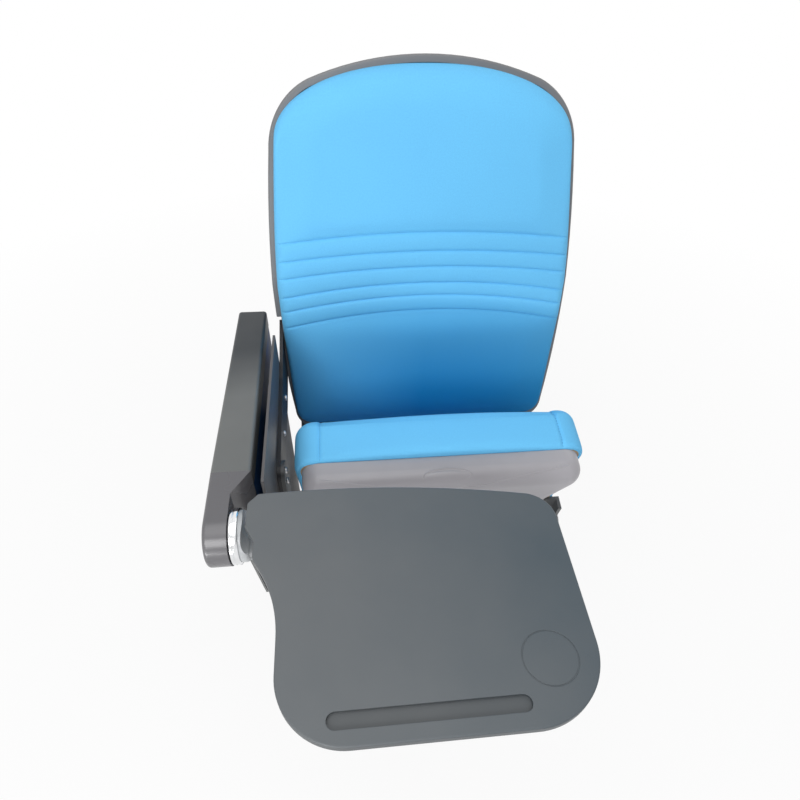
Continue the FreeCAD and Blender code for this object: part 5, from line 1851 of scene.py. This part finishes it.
@dataclass
class PanRelief:
    """Raised lines on the pan's belly: a step towards each side, a lip round the blank oval."""

    seat: SeatCushion
    belly_y: float = -216.0
    belly_z: float = -7.0
    belly_round: float = 27.0
    step: tuple[tuple[float, float], ...] = (
        (29.0, 62.0), (35.0, 73.0), (44.0, 72.0), (58.8, 67.0), (81.5, 57.0), (127.4, 40.0),
        (166.5, 26.0), (188.0, 18.0),
    )
    oval_x: float = 2.5
    oval_half: float = 36.0
    oval_turn: float = 27.0
    oval_spread: float = 23.0
    oval_points: int = 65
    radius: float = 1.5
    sunk: float = 0.45

    def spot(self, x: float, turn: float) -> Vector:
        """A point on the belly.

        Args:
            x: Place across the pan.
            turn: Angle round the belly, from 0 at the front to 90 underneath.

        Returns:
            The point in metres.
        """
        angle = math.radians(turn)
        reach = self.belly_round - self.radius * self.sunk
        y, z = self.belly_y - reach * math.cos(angle), self.belly_z - reach * math.sin(angle)
        return self.seat.place(x, y, z)

    def build(self) -> bpy.types.Object:
        """Run a round ridge along the lines and hand it over.

        Returns:
            The ridges as one mesh.
        """
        lines = [[self.spot(side * x, turn) for x, turn in self.step] for side in (-1, 1)]
        oval = []
        for angle in np.linspace(0.0, math.tau, self.oval_points):
            x = self.oval_x + self.oval_half * math.cos(angle)
            oval.append(self.spot(x, self.oval_turn + self.oval_spread * math.sin(angle)))
        piece = make_carrier("pan_ridges", [*lines, oval])
        ridge_on_lines("pan_ridge_lines").run(
            piece, Radius=self.radius * MM, Material=Slot.PAN_GREY.value.material(),
        )
        hand_over(piece, Body.SEAT, Slot.PAN_GREY)
        return piece


class Recess(Enum):
    """Drive recesses of the screws: number of arms, share of the head, and sharpness."""

    CROSS = (4, 0.45, 3)
    SOCKET = (6, 0.5, 0)


@dataclass
class ScrewSet:
    """Screws of one kind on one body, set by a tree on points that know which way they face.

    The outlines of the head and the depths of the recess are shares of its radius and its rise.
    """

    name: str
    body: Body
    node: str
    seats: list[tuple[Vector, Vector]]
    radius: float = 5.0
    rise: float = 3.0
    recess: Recess = Recess.CROSS
    flush: bool = False
    domed: tuple[tuple[float, float], ...] = (
        (1.0, -0.4), (1.0, 0.35), (0.9, 0.72), (0.72, 0.93), (0.58, 1.0),
    )
    flat: tuple[tuple[float, float], ...] = (
        (0.8, -0.4), (1.0, -0.02), (0.94, 0.0), (0.72, 0.0), (0.58, 0.0),
    )
    segments: int = 24
    core: float = 0.16
    wall: float = 0.55
    bottom: float = 0.7
    seed: int = 7

    def head(self) -> bpy.types.Object:
        """Template of the head, upright at the origin with its recess cut into the top.

        Returns:
            The template, to be removed once the tree has run.
        """
        arms, share, sharpness = self.recess.value
        outline = self.flat if self.flush else self.domed
        rings = [(r * self.radius, z * self.rise) for r, z in outline]
        top = rings[-1][1]
        angles = round_steps(self.segments)
        points: list[Vector] = []
        for r, z in rings:
            points += [Vector((r * math.cos(a), r * math.sin(a), z)) for a in angles]
        for level in (top, top - self.wall * self.rise):
            for a in angles:
                wave = 0.5 + 0.5 * math.cos(arms * a)
                reach = self.radius * (self.core + (share - self.core) * wave ** sharpness)
                points.append(Vector((reach * math.cos(a), reach * math.sin(a), level)))
        points.append(Vector((0.0, 0.0, top - self.bottom * self.rise)))
        faces = ring_faces(len(rings) + 2, self.segments)
        tip = len(points) - 1
        last = tip - self.segments
        for k in range(self.segments):
            faces.append((last + k, last + (k + 1) % self.segments, tip))
        faces.append(tuple(reversed(range(self.segments))))
        points = [point * MM for point in points]
        return make_piece(f"{self.name}_head", points, faces, Slot.BRIGHT_STEEL, smooth=False)

    def tree(self) -> GeometryTree:
        """A tree that seats a head on every point, turned by a fixed random angle.

        Returns:
            The tree, with inputs for the head and the seed.
        """
        tree = GeometryTree("screw_seats", {"Head": "Object", "Seed": "Int"})
        facing = tree.node(
            "GeometryNodeInputNamedAttribute", {"Name": "facing"}, data_type="FLOAT_VECTOR",
        )
        upright = tree.node("FunctionNodeAlignRotationToVector", {"Vector": facing[0]}, axis="Z")
        head = tree.node("GeometryNodeObjectInfo", {"Object": tree.given["Head"]})
        points = tree.node("GeometryNodeMeshToPoints", {"Mesh": tree.given["Geometry"]})
        seats = tree.node("GeometryNodeInstanceOnPoints", {
            "Points": points["Points"], "Instance": head["Geometry"],
            "Rotation": upright["Rotation"],
        })
        angle = tree.graph.add("FunctionNodeRandomValue", data_type="FLOAT")
        angle.inputs[2].default_value = 0.0
        angle.inputs[3].default_value = math.tau
        tree.graph.feed(angle.inputs["Seed"], tree.given["Seed"])
        spin = tree.node("ShaderNodeCombineXYZ", {"Z": angle.outputs[1]})
        turned = tree.node("GeometryNodeRotateInstances", {
            "Instances": seats["Instances"], "Rotation": spin["Vector"],
        })
        tree.close(turned["Instances"])
        return tree

    def build(self) -> bpy.types.Object:
        """Seat the screws and hand them over.

        Returns:
            The screws as one mesh.
        """
        piece = make_carrier(self.name, [[seat] for seat, _ in self.seats])
        layer = piece.data.attributes.new("facing", "FLOAT_VECTOR", "POINT")
        layer.data.foreach_set("vector", [part for _, facing in self.seats for part in facing])
        head = self.head()
        material = Slot.BRIGHT_STEEL.value.material()
        self.tree().run(piece, Head=head, Seed=self.seed, Material=material)
        bpy.data.objects.remove(head)
        hand_over(piece, self.body, Slot.BRIGHT_STEEL, [self.node])
        return piece


@dataclass
class Fasteners:
    """All the screws of the chair, at the places that the part gives them.

    Grids of screws are given as their places across, their places along, and their height.
    """

    back: BackCushion
    seat: SeatCushion
    wall: tuple[Point, ...] = (
        (-247.0, -60.0, 537.0), (-247.0, 20.0, 544.0), (-241.0, -145.0, 518.0),
        (-241.0, -145.0, 542.0),
    )
    bracket: tuple[Point, ...] = ((-253.0, 113.0, -17.5), (-253.0, 155.0, -17.5))
    flanges: ScrewGrid = ((-212.0, 212.0), (33.0, 161.0), -40.0)
    hinges: ScrewGrid = ((-199.0, 199.0), (-61.0, 41.0), 7.0)
    pan: ScrewGrid = ((-110.0, 110.0), (-42.0, 63.0), -34.0)
    leaf: ScrewGrid = ((-210.2, -164.3), (-330.0, -290.0), 640.0)

    @staticmethod
    def level(x: float, y: float, z: float) -> Vector:
        """A point of the chair's own frame, in metres."""
        return Vector((x, y, z)) * MM

    @staticmethod
    def spread(
        place: Callable[[float, float, float], Vector], grid: ScrewGrid,
    ) -> list[tuple[Vector, Vector]]:
        """Seats of a grid of screws, which face down in the frame that they are measured in.

        Args:
            place: Gives the points of that frame.
            grid: The grid.

        Returns:
            Each seat and the way that its screw faces.
        """
        across, along, height = grid
        facing = (place(0.0, 0.0, -1.0) - place(0.0, 0.0, 0.0)).normalized()
        return [(place(x, y, height), facing) for x in across for y in along]

    def build(self) -> None:
        """Make every set of screws."""
        right, left = Vector((1.0, 0.0, 0.0)), Vector((-1.0, 0.0, 0.0))
        seats = [(self.level(*spot), right) for spot in self.wall]
        seats += [(self.back.place(*spot), left) for spot in self.bracket]
        ScrewSet("bracket_screw_heads", Body.FRAME, "bracket_screws", seats).build()
        seats = self.spread(self.back.place, self.flanges)
        ScrewSet(
            "flange_screw_heads", Body.FRAME, "back_flange_screws", seats, recess=Recess.SOCKET,
        ).build()
        seats = self.spread(self.seat.place, self.hinges)
        ScrewSet(
            "hinge_screw_heads", Body.SEAT, "seat_hinge_screws", seats, recess=Recess.SOCKET,
        ).build()
        seats = self.spread(self.seat.place, self.pan)
        ScrewSet("pan_screw_heads", Body.SEAT, "pan_screws", seats).build()
        seats = self.spread(self.level, self.leaf)
        ScrewSet(
            "leaf_screw_heads", Body.TABLET, "tablet_screws", seats, radius=4.0, rise=2.2,
            flush=True,
        ).build()


class HardParts:
    """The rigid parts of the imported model, which keep their shape and get their finish here."""

    def dress(self) -> None:
        """Give every node its own finish, or else that of its slot in the record."""
        finishes = {slot.word: slot.value for slot in Slot}
        for entry in frame["record"]["subparts"]:
            node = frame["nodes"][entry["node"]]
            finish = OWN_FINISHES.get(entry["node"], finishes[entry["material_slot"]])
            material = finish.material()
            for place in node.material_slots:
                place.material = material
            log.info("%s takes %s", entry["node"], material.name)


@dataclass(frozen=True)
class Lamp:
    """A soft round lamp that the camera doesn't see, in metres and watts."""

    name: str
    spot: Point
    target: Point
    size: float
    power: float

    def hang(self) -> None:
        """Put the lamp into the scene, aimed at its target."""
        data = bpy.data.lights.new(self.name, "AREA")
        data.shape = "DISK"
        data.size = self.size
        data.energy = self.power
        lamp = bpy.data.objects.new(self.name, data)
        lamp.visible_camera = False
        aim = (Vector(self.target) - Vector(self.spot)).to_track_quat("-Z", "Y")
        lamp.matrix_world = Matrix.Translation(self.spot) @ aim.to_matrix().to_4x4()
        bpy.context.scene.collection.objects.link(lamp)


@dataclass
class Studio:
    """Pale floor, soft light and the camera at the photograph's viewing angle.

    The camera's focal length, centre and image are pixels of the photograph, its sensor is in
    millimetres, and the near clip and the floor are in metres.
    """

    camera: Point = (-137.87, -756.28, 1242.56)
    yaw: float = 7.247
    pitch: float = 46.817
    roll: float = 2.118
    focal: float = 593.42
    centre: tuple[float, float] = (402.86, 444.43)
    image: float = 800.0
    sensor: float = 36.0
    near_clip: float = 0.01
    floor_reach: float = 40.0
    floor_tone: float = 0.82
    floor_roughness: float = 0.8
    shadow_from: float = 0.5
    shadow_to: float = 2.2
    shadow_glow: float = 0.88
    world_light: float = 0.4
    lamps: tuple[Lamp, ...] = (
        Lamp("overhead", (-0.3, -0.5, 2.9), (0.0, 0.0, 0.5), 2.2, 22.0),
        Lamp("left_front", (-1.0, -2.4, 2.0), (-0.1, -0.1, 0.7), 1.4, 33.0),
        Lamp("right_rear", (2.0, 1.2, 2.2), (0.0, 0.0, 0.6), 1.8, 8.0),
        Lamp("low_front", (-0.9, -1.7, 0.35), (-0.3, -0.3, 0.6), 0.45, 7.0),
    )

    def set_camera(self) -> None:
        """Place the camera and make it the scene's own."""
        yaw, pitch, roll = (math.radians(angle) for angle in (self.yaw, self.pitch, self.roll))
        flat = math.cos(pitch)
        ahead = Vector((math.sin(yaw) * flat, math.cos(yaw) * flat, -math.sin(pitch)))
        level = Vector((math.cos(yaw), -math.sin(yaw), 0.0))
        upward = level.cross(ahead)
        right = math.cos(roll) * level + math.sin(roll) * upward
        up = -math.sin(roll) * level + math.cos(roll) * upward
        data = bpy.data.cameras.new("photo_camera")
        data.sensor_width = self.sensor
        data.lens = self.focal / self.image * self.sensor
        data.shift_x = (self.image / 2 - self.centre[0]) / self.image
        data.shift_y = (self.centre[1] - self.image / 2) / self.image
        data.clip_start = self.near_clip
        camera = bpy.data.objects.new("photo_camera", data)
        turn = Matrix((right, up, -ahead)).transposed()
        camera.matrix_world = Matrix.Translation(Vector(self.camera) * MM) @ turn.to_4x4()
        bpy.context.scene.collection.objects.link(camera)
        bpy.context.scene.camera = camera

    def lay_floor(self) -> None:
        """A pale floor that keeps a faint shadow near the chair and looks white beyond it."""
        mesh = bpy.data.meshes.new("floor")
        reach = self.floor_reach
        corners = [(-reach, -reach, 0), (reach, -reach, 0), (reach, reach, 0), (-reach, reach, 0)]
        mesh.from_pydata(corners, [], [(0, 1, 2, 3)])
        floor = bpy.data.objects.new("floor", mesh)
        bpy.context.scene.collection.objects.link(floor)
        material = bpy.data.materials.new("pale_floor")
        material.use_nodes = True
        graph = Graph(material.node_tree)
        nodes = material.node_tree.nodes
        shader = nodes["Principled BSDF"]
        shader.inputs["Base Color"].default_value = (*(self.floor_tone,) * 3, 1.0)
        shader.inputs["Roughness"].default_value = self.floor_roughness
        glow = graph.add("ShaderNodeEmission")
        glow.inputs["Color"].default_value = (1.0, 1.0, 1.0, 1.0)
        glow.inputs["Strength"].default_value = 1.0
        away = graph.vector("LENGTH", graph.place())["Value"]
        white = graph.spread(away, self.shadow_from, self.shadow_to, self.shadow_glow, 1.0)
        mix = graph.add("ShaderNodeMixShader")
        graph.feed(mix.inputs[0], graph.math("MULTIPLY", self.seen_directly(graph), white))
        graph.feed(mix.inputs[1], shader.outputs[0])
        graph.feed(mix.inputs[2], glow.outputs[0])
        graph.feed(nodes["Material Output"].inputs["Surface"], mix.outputs[0])
        mesh.materials.append(material)

    @staticmethod
    def seen_directly(graph: Graph) -> Socket:
        """Tell the rays that show the background: from the camera, a mirror or through glass.

        Args:
            graph: Graph of the floor's material or of the world.

        Returns:
            1 for such rays and 0 for others.
        """
        path = graph.add("ShaderNodeLightPath").outputs
        shown = graph.math("MAXIMUM", path["Is Camera Ray"], path["Is Glossy Ray"])
        return graph.math("MAXIMUM", shown, path["Is Transmission Ray"])

    def light(self) -> None:
        """Soft lamps, and a world that is white to the eye and dimmer as a light."""
        for lamp in self.lamps:
            lamp.hang()
        world = bpy.data.worlds.new("studio")
        world.use_nodes = True
        bpy.context.scene.world = world
        graph = Graph(world.node_tree)
        back = world.node_tree.nodes["Background"]
        back.inputs["Color"].default_value = (1.0, 1.0, 1.0, 1.0)
        strength = graph.spread(self.seen_directly(graph), 0.0, 1.0, self.world_light, 1.0)
        graph.feed(back.inputs["Strength"], strength)

    def build(self) -> None:
        """Set floor, light, camera and plain colour handling."""
        bpy.context.scene.view_settings.view_transform = "Standard"
        self.lay_floor()
        self.light()
        self.set_camera()


def main() -> None:
    """Dress the rigid parts, make the rest, and set the studio."""
    logging.basicConfig(level=logging.INFO, format="%(name)s: %(message)s")
    Studio().build()
    HardParts().dress()
    back, seat = BackCushion(), SeatCushion()
    back.build()
    seat.build()
    Fasteners(back, seat).build()
    WeldBeads().build()
    HingeHead().build()
    PanRelief(seat).build()


if __name__ == "__main__":
    main()
